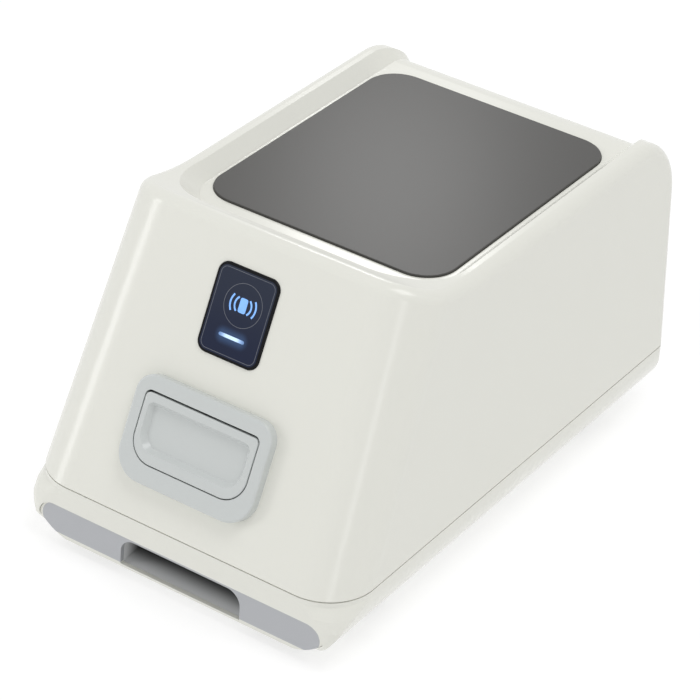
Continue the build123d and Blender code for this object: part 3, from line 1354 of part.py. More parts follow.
PIECES = {
    "upper_housing": upper_housing,
    "lower_housing": lower_housing,
    "outlet_bezel": outlet_bezel,
    "outlet_tray": outlet_tray,
    "top_panel": top_panel,
    "display_window": display_window,
    "display_board": display_board,
    "light_bar": light_bar,
    "door_bezel": door_bezel,
    "loading_door": loading_door,
    "door_hinge_pin": door_hinge_pin,
    "door_spring": door_spring,
    "feet": feet,
    "housing_screws": housing_screws,
    "rear_panel": rear_panel,
    "rear_panel_screws": rear_panel_screws,
    "power_inlet": power_inlet,
    "data_socket": data_socket,
    "rocker_frame": rocker_frame,
    "power_rocker": power_rocker,
    "connector_board": connector_board,
    "chassis_plate": chassis_plate,
    "chassis_screws": chassis_screws,
    "front_guide": front_guide,
    "rear_guide": rear_guide,
    "roller_bushes": roller_bushes,
    "timing_belt": timing_belt,
    "motor_bracket": motor_bracket,
    "stepper_motor": stepper_motor,
    "motor_shaft": motor_shaft,
    "optics_housing": optics_housing,
    "optics_cover": optics_cover,
    "scan_mirror": scan_mirror,
    "mirror_motor": mirror_motor,
    "laser_module": laser_module,
    "scan_lens": scan_lens,
    "light_guide": light_guide,
    "photomultiplier": photomultiplier,
    "photomultiplier_bracket": photomultiplier_bracket,
    "erase_holder": erase_holder,
    "erase_board": erase_board,
    "erase_lamps": erase_lamps,
    "main_board": main_board,
    "board_standoffs": board_standoffs,
    "board_screws": board_screws,
}

for name, piece in PIECES.items():
    save(piece(), name)

ROLLERS = ("upper_drive", "lower_drive", "upper_pinch", "lower_pinch")
for number, name in enumerate(ROLLERS):
    save(shaft(number), f"{name}_shaft")
    save(tyres(number, DRIVE_RADIUS if number < 2 else PINCH_RADIUS), f"{name}_tyres")

save(side_frame(-1), "left_side_frame")
save(side_frame(1), "right_side_frame")
save(pulley(*roller_places()[0], PULLEY_RADIUS), "upper_pulley")
save(pulley(*roller_places()[1], PULLEY_RADIUS), "lower_pulley")
save(pulley(MOTOR_DEPTH, MOTOR_HEIGHT, MOTOR_PULLEY_RADIUS), "motor_pulley")
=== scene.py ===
import json
import math

import bpy
import numpy as np
from mathutils import Matrix, Vector


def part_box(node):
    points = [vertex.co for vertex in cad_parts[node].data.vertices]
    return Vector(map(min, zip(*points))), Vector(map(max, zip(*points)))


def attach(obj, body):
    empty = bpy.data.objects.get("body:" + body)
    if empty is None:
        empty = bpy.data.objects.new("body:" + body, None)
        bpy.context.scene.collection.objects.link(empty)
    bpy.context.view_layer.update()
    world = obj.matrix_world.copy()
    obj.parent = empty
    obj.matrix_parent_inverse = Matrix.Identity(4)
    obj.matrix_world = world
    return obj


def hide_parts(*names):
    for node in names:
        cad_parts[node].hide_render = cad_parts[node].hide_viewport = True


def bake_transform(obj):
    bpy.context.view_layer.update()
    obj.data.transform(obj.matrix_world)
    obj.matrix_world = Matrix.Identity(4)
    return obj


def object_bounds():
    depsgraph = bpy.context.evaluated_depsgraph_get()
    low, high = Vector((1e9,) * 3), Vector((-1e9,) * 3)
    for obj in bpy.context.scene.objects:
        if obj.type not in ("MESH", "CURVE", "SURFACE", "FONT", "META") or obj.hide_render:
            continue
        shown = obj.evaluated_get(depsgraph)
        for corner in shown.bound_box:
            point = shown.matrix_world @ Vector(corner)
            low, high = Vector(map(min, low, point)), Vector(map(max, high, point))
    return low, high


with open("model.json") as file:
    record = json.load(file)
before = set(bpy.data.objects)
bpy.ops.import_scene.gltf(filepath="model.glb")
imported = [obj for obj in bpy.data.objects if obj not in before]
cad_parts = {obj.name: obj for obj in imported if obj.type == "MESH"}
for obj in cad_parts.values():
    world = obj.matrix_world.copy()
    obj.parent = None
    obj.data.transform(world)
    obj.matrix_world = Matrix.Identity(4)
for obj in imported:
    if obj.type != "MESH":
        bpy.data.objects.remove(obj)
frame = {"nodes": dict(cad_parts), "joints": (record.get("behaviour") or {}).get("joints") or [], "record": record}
CAD_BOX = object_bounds()

bl_info = {
    "name": "Phosphor plate scanner",
    "version": (1, 0, 0),
    "blender": (4, 5, 0),
    "location": "View3D > Sidebar > Scanner",
    "description": "Finishes, display artwork and studio of a desktop scanner for imaging plates",
    "category": "Object",
}

MM = 0.001
WHITE = (1.0, 1.0, 1.0, 1.0)
UNLIT = (0.0, 0.0, 0.0, 1.0)

# points of a ring, a corner, a wire's section, a turn and a leg of the spring, and an arc
CIRCLE_STEPS = 96
CORNER_STEPS = 10
WIRE_STEPS = 10
TURN_STEPS = 28
LEG_STEPS = 8
ARC_STEPS = 24

# share of the rim's height that the white rim has at the ends of the outlet insert
RIM_END_SHARE = 0.8
# half the width over which one printed or moulded colour turns into the next
INSERT_EDGE = 0.05 * MM
PRINT_EDGE = 0.1 * MM

# display glass: corner, and half width, half height, corner and reach of the light bar's halo
GLASS_CORNER = 5 * MM
HALO_HALF = (5 * MM, 0.7 * MM)
HALO_CORNER = 0.6 * MM
HALO_REACH = 4 * MM
HALO_LEVEL = 0.14
# pictogram in shares of the ring's radius: half width, half height and corner of the plate,
# then radius and half angle of each arc on a side
PLATE_SHARES = (0.2, 0.34, 0.09)
ARC_SHARES = ((0.44, 0.85), (0.68, 0.6))

# door spring: radius of the wire, radius, length and turns of the coil, way from the coil to the
# end of each leg, and half the length of the axis over which it takes up the door's swing
SPRING_WIRE = 0.27 * MM
SPRING_RADIUS = 1.25 * MM
SPRING_LENGTH = 4.4 * MM
SPRING_TURNS = 7.25
BEZEL_LEG = (0, -4.2 * MM, -4.4 * MM)
DOOR_LEG = (0, 3.9 * MM, -6.4 * MM)

# a wire's section is drawn in to this part of its radius at each end, and its zero angle points
# towards a direction that no wire here runs along
TIP_PART = 20
WIRE_ZERO = (0.31, 0.87, 0.38)

# metal finish of each slot: name, display colour, roughness and width of the drawn lines
METALS = {
    "steel": ("turned steel", (196, 196, 198), 0.28, 0.25 * MM),
    "sheet_metal": ("sheet metal", (204, 205, 208), 0.38, 0.4 * MM),
    "brass": ("brass", (196, 168, 104), 0.3, 0.25 * MM),
    "mirror": ("ground mirror", (232, 233, 236), 0.06, 0.6 * MM),
}
METAL_GRAIN_DEPTH = 0.004 * MM
# change of roughness to either side of a moulded finish's own
MOULDED_GLOSS = 0.04

SENSOR_WIDTH = 36
NEAREST, FURTHEST = 0.05, 50
# place and size in metres, and power in watts, of each lamp
LAMPS = {
    "overhead_lamp": ((0.4, -0.1, 1.5), (0.7, 0.7), 6),
    "panel_lamp": ((-0.27, 0.455, 0.47), (0.12, 0.12), 0.28),
    "left_lamp": ((-1.1, -0.95, 0.4), (0.35, 0.9), 3.4),
    "right_lamp": ((0.9, -1.1, 0.3), (0.2, 0.7), 0.9),
}


def linear(red, green, blue):
    """Linear colour, with alpha 1, of a display colour in steps from 0 to 255: the sRGB curve."""
    share = np.array([red, green, blue]) / 255
    low = share / 12.92
    high = ((share + 0.055) / 1.055) ** 2.4
    return (*np.where(share <= 0.04045, low, high).tolist(), 1.0)


def colour_property(name, description, colour):
    """Setting for a linear colour with alpha."""
    return bpy.props.FloatVectorProperty(
        name=name, description=description, default=colour, size=4, subtype="COLOR", min=0, max=1
    )


def length_property(name, description, default):
    """Setting for a length in metres."""
    return bpy.props.FloatProperty(
        name=name, description=description, default=default, min=0, unit="LENGTH", precision=5
    )


def angle_property(name, description, degrees):
    """Setting for an angle, with its default in degrees."""
    return bpy.props.FloatProperty(
        name=name,
        description=description,
        default=math.radians(degrees),
        subtype="ANGLE",
        unit="ROTATION",
    )


class ScannerFinishes(bpy.types.PropertyGroup):
    """Colours and grain of the moulded pieces, and sizes of the outlet's colours."""

    cover: colour_property("Cover", "Colour of the two housing halves", linear(232, 232, 224))
    door: colour_property("Door", "Colour of the door and its bezel", linear(203, 207, 206))
    insert: colour_property("Insert", "Colour of the outlet insert", linear(181, 183, 187))
    tray: colour_property("Tray", "Colour of the tray at the slot's mouth", linear(228, 229, 230))
    # way into the slot over which the tray is painted darker: painted shade of the slot's inside
    depth: length_property("Depth", "Way into the slot to where the tray is dark", 13 * MM)
    rim: length_property("Rim", "Height of the white rim at the insert's foot", 1.9 * MM)
    panel: colour_property("Top panel", "Colour of the sunken top panel", linear(72, 71, 69))
    black: colour_property("Black", "Colour of the black moulded pieces", linear(38, 39, 41))
    grain: length_property("Grain", "Size of the fine mould texture", 0.35 * MM)
    patch: length_property("Patches", "Size of the slow changes of tone", 40 * MM)


class ScannerDisplay(bpy.types.PropertyGroup):
    """Artwork and light of the display."""

    slope: angle_property("Slope", "Angle of the front from the table", 65.3)
    glass: colour_property("Glass", "Colour of the glass at its top", linear(47, 53, 68))
    low_glass: colour_property("Low glass", "Colour of the glass at its foot", linear(31, 38, 62))
    border: colour_property("Border", "Colour of the printed border", linear(10, 11, 15))
    lines: colour_property("Lines", "Colour of the thin printed lines", linear(104, 108, 118))
    lit: colour_property("Lit", "Colour of the lit pictogram", linear(122, 172, 240))
    bar: colour_property("Light bar", "Colour of the light bar", linear(214, 236, 255))
    border_width: length_property("Border width", "Width of the printed border", 1.2 * MM)
    line_inset: length_property("Line inset", "Distance of the thin frame from the edge", 2.0 * MM)
    line_width: length_property("Line width", "Width of the thin lines", 0.22 * MM)
    stroke: length_property("Stroke", "Width of the pictogram's arcs", 0.8 * MM)
    rise: length_property("Print height", "Height of the artwork above the glass", 0.04 * MM)
    ring_radius: length_property("Ring radius", "Radius of the thin ring", 9.4 * MM)
    ring_right: length_property("Ring shift", "Way from the glass's middle to the ring's", 1.0 * MM)
    ring_up: length_property("Ring height", "Height of the ring above the middle", 4.6 * MM)
    bar_down: length_property("Bar drop", "Way down from the middle to the light bar", 10 * MM)


class ScannerStudio(bpy.types.PropertyGroup):
    """Camera, floor and lamps."""

    lens: bpy.props.FloatProperty(
        name="Lens", description="Focal length of the camera", default=159.75, unit="CAMERA"
    )
    azimuth: angle_property("Azimuth", "Turn of the camera to the right of the front", 32.16)
    elevation: angle_property("Elevation", "Height of the view above the horizon", 32.832)
    roll: angle_property("Roll", "Turn of the camera about its own line of sight", 4.121)
    shift: bpy.props.FloatVectorProperty(
        name="Reference shift",
        description="Place of the front's foot along the camera's axes: right, down and ahead",
        default=(-0.072908, 0.080351, 1.314015),
        unit="LENGTH",
    )
    floor: length_property("Floor", "Half the width of the floor", 6.0)
    surround: bpy.props.FloatProperty(
        name="Surround", description="Level of the even light from all round", default=0.62, min=0
    )


def front_frame(node, angle):
    """Frame on the outer face of a node of the sloping front.

    Its columns are right, up the slope, and out from it, and its origin is the middle of the face:
    the middle of the node's reach along the first two, and its furthest reach along the third.
    """
    turn = np.array(Matrix.Rotation(angle, 3, "X"))
    points = mesh_points(frame["nodes"][node]) @ turn
    low, high = points.min(0), points.max(0)
    middle = np.array([(low[0] + high[0]) / 2, (low[1] + high[1]) / 2, high[2]])
    return turn, turn @ middle, (high - low) / 2


def mesh_points(piece):
    """Vertices of a mesh as one array."""
    points = np.zeros(len(piece.data.vertices) * 3)
    piece.data.vertices.foreach_get("co", points)
    return points.reshape(-1, 3)


def grid_faces(rows, columns, rows_closed, columns_closed):
    """Four-sided faces between neighbours of a grid of points that is numbered row by row."""
    row, column = np.meshgrid(
        np.arange(rows if rows_closed else rows - 1),
        np.arange(columns if columns_closed else columns - 1),
        indexing="ij",
    )
    here, beyond, beside = row * columns, (row + 1) % rows * columns, (column + 1) % columns
    corners = [here + column, here + beside, beyond + beside, beyond + column]
    return np.stack(corners, -1).reshape(-1, 4)


def volume_of(points, faces):
    """Signed volume inside closed faces of four corners.

    Each face is two triangles, and each triangle adds its tetrahedron to the points' middle.
    """
    a, b, c, d = (points[faces[:, i]] - points.mean(0) for i in range(4))
    halves = [(a, b, c), (a, c, d)]
    return sum(np.einsum("ij,ij->", p, np.cross(q, r)) for p, q, r in halves) / 6


def add_piece(name, points, faces, material, body, smooth=True):
    """Make a mesh piece from arrays, with its faces outwards, riding on a body if one is named."""
    if volume_of(points, faces) < 0:
        faces = faces[:, ::-1]
    mesh = bpy.data.meshes.new(name)
    mesh.from_pydata(points.tolist(), [], faces.tolist())
    mesh.polygons.foreach_set("use_smooth", np.full(len(faces), smooth))
    mesh.validate()
    mesh.materials.append(material)
    piece = bpy.data.objects.new(name, mesh)
    bpy.context.scene.collection.objects.link(piece)
    if body:
        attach(piece, body)
    return piece


def normals_of(path, closed):
    """Unit normals of a flat path: its central differences turned by a right angle."""
    if closed:
        way = np.roll(path, -1, 0) - np.roll(path, 1, 0)
    else:
        way = np.gradient(path, axis=0)
    way = way / np.linalg.norm(way, axis=1, keepdims=True)
    return np.stack([-way[:, 1], way[:, 0]], -1)


def ribbon(path, width, low, high, closed):
    """Raised line: a four-cornered section carried along a flat path.

    At each point of the path the section reaches half the width to either side along the path's
    normal, and from the low to the high level. An open path is closed by a face at each end.
    """
    side = normals_of(path, closed) * width / 2
    count = len(path)
    corners = np.stack([path - side, path + side, path + side, path - side], 1)
    levels = np.broadcast_to(np.array([low, low, high, high]), (count, 4))
    points = np.concatenate([corners, levels[..., None]], -1).reshape(-1, 3)
    faces = grid_faces(count, 4, closed, True)
    if not closed:
        last = 4 * (count - 1)
        ends = [[3, 2, 1, 0], [last, last + 1, last + 2, last + 3]]
        faces = np.concatenate([faces, ends])
    return points, faces


def joined_shapes(shapes):
    """Several pairs of points and faces as one pair."""
    starts = np.cumsum([0] + [len(points) for points, _ in shapes[:-1]])
    points = np.concatenate([points for points, _ in shapes])
    faces = np.concatenate([faces + start for (_, faces), start in zip(shapes, starts)])
    return points, faces


def circle_path(centre, radius):
    """Points at even angles on a circle."""
    angle = np.linspace(0, 2 * np.pi, CIRCLE_STEPS, endpoint=False)
    return np.array(centre) + radius * np.stack([np.cos(angle), np.sin(angle)], -1)


def rounded_path(centre, half, corner):
    """Rounded rectangle: a quarter circle about each corner's centre, joined by straight sides."""
    quarter = np.linspace(0, np.pi / 2, CORNER_STEPS)
    angle = quarter[None] + np.arange(4)[:, None] * np.pi / 2
    signs = np.array([[1, 1], [-1, 1], [-1, -1], [1, -1]])
    centres = signs * (np.array(half) - corner)
    arcs = centres[:, None] + corner * np.stack([np.cos(angle), np.sin(angle)], -1)
    return np.array(centre) + arcs.reshape(-1, 2)


def tube(path, radius):
    """Round wire: a circle carried along a path in space.

    At each point the circle lies across the path's central difference, and its zero angle is the
    part of one fixed direction that is square to it. Each end is drawn in to a point.
    """
    way = np.gradient(path, axis=0)
    way = way / np.linalg.norm(way, axis=1, keepdims=True)
    fixed = np.array(WIRE_ZERO)
    across = fixed - (way @ fixed)[:, None] * way
    across = across / np.linalg.norm(across, axis=1, keepdims=True)
    other = np.cross(way, across)
    angle = np.linspace(0, 2 * np.pi, WIRE_STEPS, endpoint=False)[None, :, None]
    ring = np.cos(angle) * across[:, None] + np.sin(angle) * other[:, None]
    size = np.full(len(path), radius)
    size[[0, -1]] = radius / TIP_PART
    points = path[:, None] + ring * size[:, None, None]
    return points.reshape(-1, 3), grid_faces(len(path), WIRE_STEPS, False, True)


class Wiring:
    """Short calls that place nodes in one tree and wire them."""

    def __init__(self, tree):
        self.tree = tree

    def add(self, kind, settings=None, **inputs):
        """Place a node, with its settings, and feed its inputs by name."""
        node = self.tree.nodes.new(kind)
        for name, value in (settings or {}).items():
            setattr(node, name, value)
        for name, value in inputs.items():
            self.feed(node.inputs[name.replace("_", " ")], value)
        return node

    def feed(self, socket, value):
        """Wire another socket to an input, or set its plain value."""
        if isinstance(value, bpy.types.NodeSocket):
            self.tree.links.new(value, socket)
        else:
            socket.default_value = value

    def feed_all(self, sockets, values):
        """Feed several inputs in order."""
        for socket, value in zip(sockets, values):
            self.feed(socket, value)

    def maths(self, operation, *values):
        """Arithmetic on one or two values."""
        node = self.add("ShaderNodeMath", {"operation": operation})
        self.feed_all(node.inputs, values)
        return node.outputs["Value"]

    def vector_maths(self, operation, *values):
        """Arithmetic on two vectors, part by part."""
        node = self.add("ShaderNodeVectorMath", {"operation": operation})
        self.feed_all(node.inputs, values)
        return node.outputs["Vector"]

    def spread(self, value, start, end, low, high):
        """Smooth change from low to high as a value goes from start to end."""
        node = self.add("ShaderNodeMapRange", {"interpolation_type": "SMOOTHSTEP"})
        self.feed_all(node.inputs, (value, start, end, low, high))
        return node.outputs["Result"]

    def mix(self, factor, first, second):
        """Mix of two colours; a mixing node keeps those in its seventh and eighth inputs."""
        node = self.add("ShaderNodeMix", {"data_type": "RGBA"})
        self.feed_all((node.inputs[0], *node.inputs[6:8]), (factor, first, second))
        return node.outputs[2]

    def place(self):
        """Place on the object, in metres."""
        return self.add("ShaderNodeTexCoord").outputs["Object"]


def group_tree(name, inputs, outputs):
    """New node group with float or vector sockets; returns its tree and its two end nodes."""
    tree = bpy.data.node_groups.new(name, "ShaderNodeTree")
    for label, kind, default in inputs:
        socket = tree.interface.new_socket(label, in_out="INPUT", socket_type=f"NodeSocket{kind}")
        if kind == "Float":
            socket.default_value = default
    for label in outputs:
        tree.interface.new_socket(label, in_out="OUTPUT", socket_type="NodeSocketFloat")
    return tree, tree.nodes.new("NodeGroupInput"), tree.nodes.new("NodeGroupOutput")


def grain_group():
    """Mould texture: fine noise as height, and slow noise as patches of tone."""
    if "Mould grain" in bpy.data.node_groups:
        return bpy.data.node_groups["Mould grain"]
    inputs = [
        ("Vector", "Vector", None),
        ("Grain Size", "Float", 0.4 * MM),
        ("Patch Size", "Float", 40 * MM),
    ]
    tree, start, end = group_tree("Mould grain", inputs, ["Height", "Patches"])
    wiring = Wiring(tree)
    place = start.outputs["Vector"]
    fine = wiring.add("ShaderNodeTexNoise", Vector=place, Detail=2.0, Roughness=0.6)
    wiring.feed(fine.inputs["Scale"], wiring.maths("DIVIDE", 1.0, start.outputs["Grain Size"]))
    slow = wiring.add("ShaderNodeTexNoise", Vector=place, Detail=1.0, Roughness=0.4)
    wiring.feed(slow.inputs["Scale"], wiring.maths("DIVIDE", 1.0, start.outputs["Patch Size"]))
    wiring.feed(end.inputs["Height"], fine.outputs["Fac"])
    wiring.feed(end.inputs["Patches"], slow.outputs["Fac"])
    return tree


def brushed_group():
    """Drawn metal: noise stretched along x, as height and as streaks."""
    if "Drawn metal" in bpy.data.node_groups:
        return bpy.data.node_groups["Drawn metal"]
    inputs = [
        ("Vector", "Vector", None),
        ("Line Size", "Float", 0.3 * MM),
        ("Stretch", "Float", 30.0),
    ]
    tree, start, end = group_tree("Drawn metal", inputs, ["Height", "Streaks"])
    wiring = Wiring(tree)
    squeeze = wiring.add("ShaderNodeCombineXYZ", Y=1.0, Z=1.0)
    wiring.feed(squeeze.inputs["X"], wiring.maths("DIVIDE", 1.0, start.outputs["Stretch"]))
    squeezed = wiring.vector_maths("MULTIPLY", start.outputs["Vector"], squeeze.outputs[0])
    lines = wiring.add("ShaderNodeTexNoise", Vector=squeezed, Detail=4.0, Roughness=0.65)
    wiring.feed(lines.inputs["Scale"], wiring.maths("DIVIDE", 1.0, start.outputs["Line Size"]))
    wiring.feed(end.inputs["Height"], lines.outputs["Fac"])
    streaks = wiring.spread(lines.outputs["Fac"], start=0.35, end=0.65, low=0.0, high=1.0)
    wiring.feed(end.inputs["Streaks"], streaks)
    return tree


def panel_distance_group():
    """Distance outside a rounded rectangle about the origin of x and y, negative inside.

    With q the absolute place less the half sizes plus the corner radius, it is the length of the
    positive part of q, plus the lesser of zero and the larger part of q, less the corner radius.
    """
    if "Rounded rectangle" in bpy.data.node_groups:
        return bpy.data.node_groups["Rounded rectangle"]
    inputs = [
        ("Vector", "Vector", None),
        ("Half Width", "Float", 10 * MM),
        ("Half Length", "Float", 10 * MM),
        ("Corner", "Float", 2 * MM),
    ]
    tree, start, end = group_tree("Rounded rectangle", inputs, ["Distance"])
    wiring = Wiring(tree)
    parts = wiring.add("ShaderNodeSeparateXYZ", Vector=start.outputs["Vector"])
    corner = start.outputs["Corner"]
    over = []
    for axis, half in (("X", "Half Width"), ("Y", "Half Length")):
        core = wiring.maths("SUBTRACT", start.outputs[half], corner)
        over.append(wiring.maths("SUBTRACT", wiring.maths("ABSOLUTE", parts.outputs[axis]), core))
    squares = [wiring.maths("POWER", wiring.maths("MAXIMUM", q, 0.0), 2.0) for q in over]
    outside = wiring.maths("SQRT", wiring.maths("ADD", *squares))
    inside = wiring.maths("MINIMUM", wiring.maths("MAXIMUM", *over), 0.0)
    distance = wiring.maths("SUBTRACT", wiring.maths("ADD", outside, inside), corner)
    wiring.feed(end.inputs["Distance"], distance)
    return tree


def board_group():
    """Circuit board: tracks that ripple through right-angled cells, and round pads."""
    if "Circuit board" in bpy.data.node_groups:
        return bpy.data.node_groups["Circuit board"]
    inputs = [("Vector", "Vector", None), ("Pitch", "Float", 4 * MM)]
    tree, start, end = group_tree("Circuit board", inputs, ["Tracks", "Pads"])
    wiring = Wiring(tree)
    scale = wiring.maths("DIVIDE", 1.0, start.outputs["Pitch"])
    cells = wiring.add("ShaderNodeTexVoronoi", {"distance": "MANHATTAN", "feature": "F1"})
    round_cells = {"distance": "EUCLIDEAN", "feature": "F1"}
    pads = wiring.add("ShaderNodeTexVoronoi", round_cells, Randomness=0.55)
    for texture in (cells, pads):
        wiring.feed(texture.inputs["Vector"], start.outputs["Vector"])
        wiring.feed(texture.inputs["Scale"], scale)
    ripple = wiring.maths("PINGPONG", cells.outputs["Distance"], 0.16)
    tracks = wiring.spread(ripple, start=0.03, end=0.07, low=1.0, high=0.0)
    discs = wiring.spread(pads.outputs["Distance"], start=0.16, end=0.2, low=1.0, high=0.0)
    wiring.feed(end.inputs["Tracks"], tracks)
    wiring.feed(end.inputs["Pads"], discs)
    return tree


def new_material(name, constants):
    """Material with a Principled shader whose plain values are set on its own sockets."""
    material = bpy.data.materials.new(name)
    material.use_nodes = True
    shader = material.node_tree.nodes["Principled BSDF"]
    for socket, value in constants.items():
        shader.inputs[socket].default_value = value
    return material, Wiring(material.node_tree), shader


def use_group(wiring, tree, **inputs):
    """Place a node group, read on the object's own coordinates unless told otherwise."""
    if "Vector" not in inputs:
        inputs["Vector"] = wiring.place()
    return wiring.add("ShaderNodeGroup", {"node_tree": tree}, **inputs)


def panel_distance(wiring, place, half, corner):
    """Distance of a place outside a rounded rectangle of given half sizes about its origin."""
    sizes = {"Half_Width": half[0], "Half_Length": half[1], "Corner": corner}
    node = use_group(wiring, panel_distance_group(), Vector=place, **sizes)
    return node.outputs["Distance"]


def bump(wiring, shader, height, depth):
    """Bump of a given depth in metres."""
    node = wiring.add("ShaderNodeBump", Height=height, Distance=depth, Strength=1.0)
    wiring.feed(shader.inputs["Normal"], node.outputs["Normal"])


def shaded(colour, share):
    """Colour made darker or lighter by a share."""
    return (*[min(1.0, part * share) for part in colour[:3]], 1.0)


def grey_level(level):
    """Even grey of a linear level."""
    return (level, level, level, 1.0)


def moulded_plastic(name, colour, roughness, depth, change=0.006, grain=None, shine=0.5):
    """Moulded plastic with a fine grain in its gloss and bump, and slow changes of tone."""
    finishes = bpy.context.scene.scanner_finishes
    material, wiring, shader = new_material(name, {"IOR": 1.49, "Specular IOR Level": shine})
    sizes = {"Grain_Size": grain or finishes.grain, "Patch_Size": finishes.patch}
    texture = use_group(wiring, grain_group(), **sizes)
    patches, height = texture.outputs["Patches"], texture.outputs["Height"]
    tone = wiring.mix(patches, shaded(colour, 1 - change), shaded(colour, 1 + change))
    wiring.feed(shader.inputs["Base Color"], tone)
    gloss = wiring.spread(height, 0.0, 1.0, roughness - MOULDED_GLOSS, roughness + MOULDED_GLOSS)
    wiring.feed(shader.inputs["Roughness"], gloss)
    bump(wiring, shader, height, depth)
    return material


def face_place(wiring, origin, angle):
    """Place on a face that leans by an angle: right, up the slope and out from an origin on it."""
    centre = wiring.add("ShaderNodeMapping", {"vector_type": "TEXTURE"}, Vector=wiring.place())
    centre.inputs["Location"].default_value = origin.tolist()
    centre.inputs["Rotation"].default_value = (angle, 0, 0)
    return centre.outputs["Vector"]


def second_colour(material, colour, share_of):
    """Mix a second colour into a finished material, by the share that a function gives."""
    wiring = Wiring(material.node_tree)
    base = material.node_tree.nodes["Principled BSDF"].inputs["Base Color"]
    first = base.links[0].from_socket
    wiring.feed(base, wiring.mix(share_of(wiring), first, colour))
    return material


def drawn_metal(name, colour, roughness, line):
    """Metal with drawn lines in its gloss."""
    material, wiring, shader = new_material(name, {"Metallic": 1.0})
    texture = use_group(wiring, brushed_group(), Line_Size=line)
    streaks = texture.outputs["Streaks"]
    tone = wiring.mix(streaks, shaded(colour, 0.94), shaded(colour, 1.03))
    wiring.feed(shader.inputs["Base Color"], tone)
    gloss = wiring.spread(streaks, 0.0, 1.0, roughness - 0.05, roughness + 0.07)
    wiring.feed(shader.inputs["Roughness"], gloss)
    bump(wiring, shader, texture.outputs["Height"], METAL_GRAIN_DEPTH)
    return material


def clear_material(name, colour):
    """Clear moulded or ground piece with faint marks on its surface."""
    constants = {"Base Color": colour, "Transmission Weight": 1.0, "IOR": 1.49}
    material, wiring, shader = new_material(name, constants)
    texture = use_group(wiring, grain_group(), Grain_Size=1.5 * MM)
    gloss = wiring.spread(texture.outputs["Patches"], start=0.0, end=1.0, low=0.02, high=0.07)
    wiring.feed(shader.inputs["Roughness"], gloss)
    return material


def nodes_of(slot):
    """CAD nodes that take their finish from one material slot of the record."""
    return [part["node"] for part in frame["record"]["subparts"] if part["material_slot"] == slot]


def dress(slot, material):
    """Give one material to the CAD nodes of a slot."""
    names = nodes_of(slot)
    if not names:
        raise RuntimeError(f"the record has no node with the slot {slot}")
    for name in names:
        mesh = frame["nodes"][name].data
        mesh.materials.clear()
        mesh.materials.append(material)


class SCANNER_OT_housing(bpy.types.Operator):
    """Give the two housing halves their white moulded finish"""

    bl_idname = "scanner.housing"
    bl_label = "Housing"

    def execute(self, context):
        colour = tuple(context.scene.scanner_finishes.cover)
        white = moulded_plastic("white cover", colour, roughness=0.2, depth=0.001 * MM)
        dress("cover_white", white)
        return {"FINISHED"}


class SCANNER_OT_door(bpy.types.Operator):
    """Give the loading door and its bezel their pale satin finish"""

    bl_idname = "scanner.door"
    bl_label = "Loading door"

    def execute(self, context):
        colour = tuple(context.scene.scanner_finishes.door)
        pale = moulded_plastic("pale door", colour, roughness=0.22, depth=0.002 * MM)
        dress("light_grey", pale)
        return {"FINISHED"}


class SCANNER_OT_outlet(bpy.types.Operator):
    """Give the outlet insert its grey field in a white rim, and the tray a painted shade that darkens it towards
    its back
    """

    bl_idname = "scanner.outlet"
    bl_label = "Outlet insert"

    def execute(self, context):
        finishes = context.scene.scanner_finishes
        turn, origin, half = front_frame("outlet_bezel", np.pi / 2)
        raised = origin + turn @ np.array([0, finishes.rim / 2, 0])
        half_height = half[1] - finishes.rim / 2
        half_width = half[0] - RIM_END_SHARE * finishes.rim

        def outside_field(wiring):
            """One outside the grey field, which has round ends and stands above the rim."""
            place = face_place(wiring, raised, np.pi / 2)
            edge = panel_distance(wiring, place, (half_width, half_height), half_height)
            return wiring.spread(edge, -INSERT_EDGE, INSERT_EDGE, 0.0, 1.0)

        colour = tuple(finishes.insert)
        grey = moulded_plastic("grey insert", colour, roughness=0.42, depth=0.004 * MM)
        dress("insert_grey", second_colour(grey, tuple(finishes.cover), outside_field))
        tray = frame["nodes"]["outlet_tray"]
        mouth = mesh_points(tray)[:, 1].min()

        def painted_shade_share(wiring):
            """Share of painted shade, from zero at the slot's mouth to one deep inside, where the slot lies in
            shadow.
            """
            parts = wiring.add("ShaderNodeSeparateXYZ", Vector=wiring.place())
            reach = (mouth + 1 * MM, mouth + finishes.depth)
            return wiring.spread(parts.outputs["Y"], *reach, 0.0, 1.0)

        colour = tuple(finishes.tray)
        white = moulded_plastic("white tray", colour, roughness=0.5, depth=0.004 * MM)
        tray.data.materials.clear()
        # the tray's colour is mixed towards near black deeper in: painted shade, not the tray's own colour
        tray.data.materials.append(second_colour(white, shaded(colour, 0.02), painted_shade_share))
        return {"FINISHED"}


class SCANNER_OT_top_panel(bpy.types.Operator):
    """Give the sunken top panel its dark finish with a coarser grain"""

    bl_idname = "scanner.top_panel"
    bl_label = "Top panel"

    def execute(self, context):
        finishes = context.scene.scanner_finishes
        looks = {"roughness": 0.34, "depth": 0.004 * MM, "change": 0.02, "shine": 0.3}
        grain = 1.6 * finishes.grain
        dark = moulded_plastic("dark panel", tuple(finishes.panel), grain=grain, **looks)
        dress("panel_grey", dark)
        return {"FINISHED"}


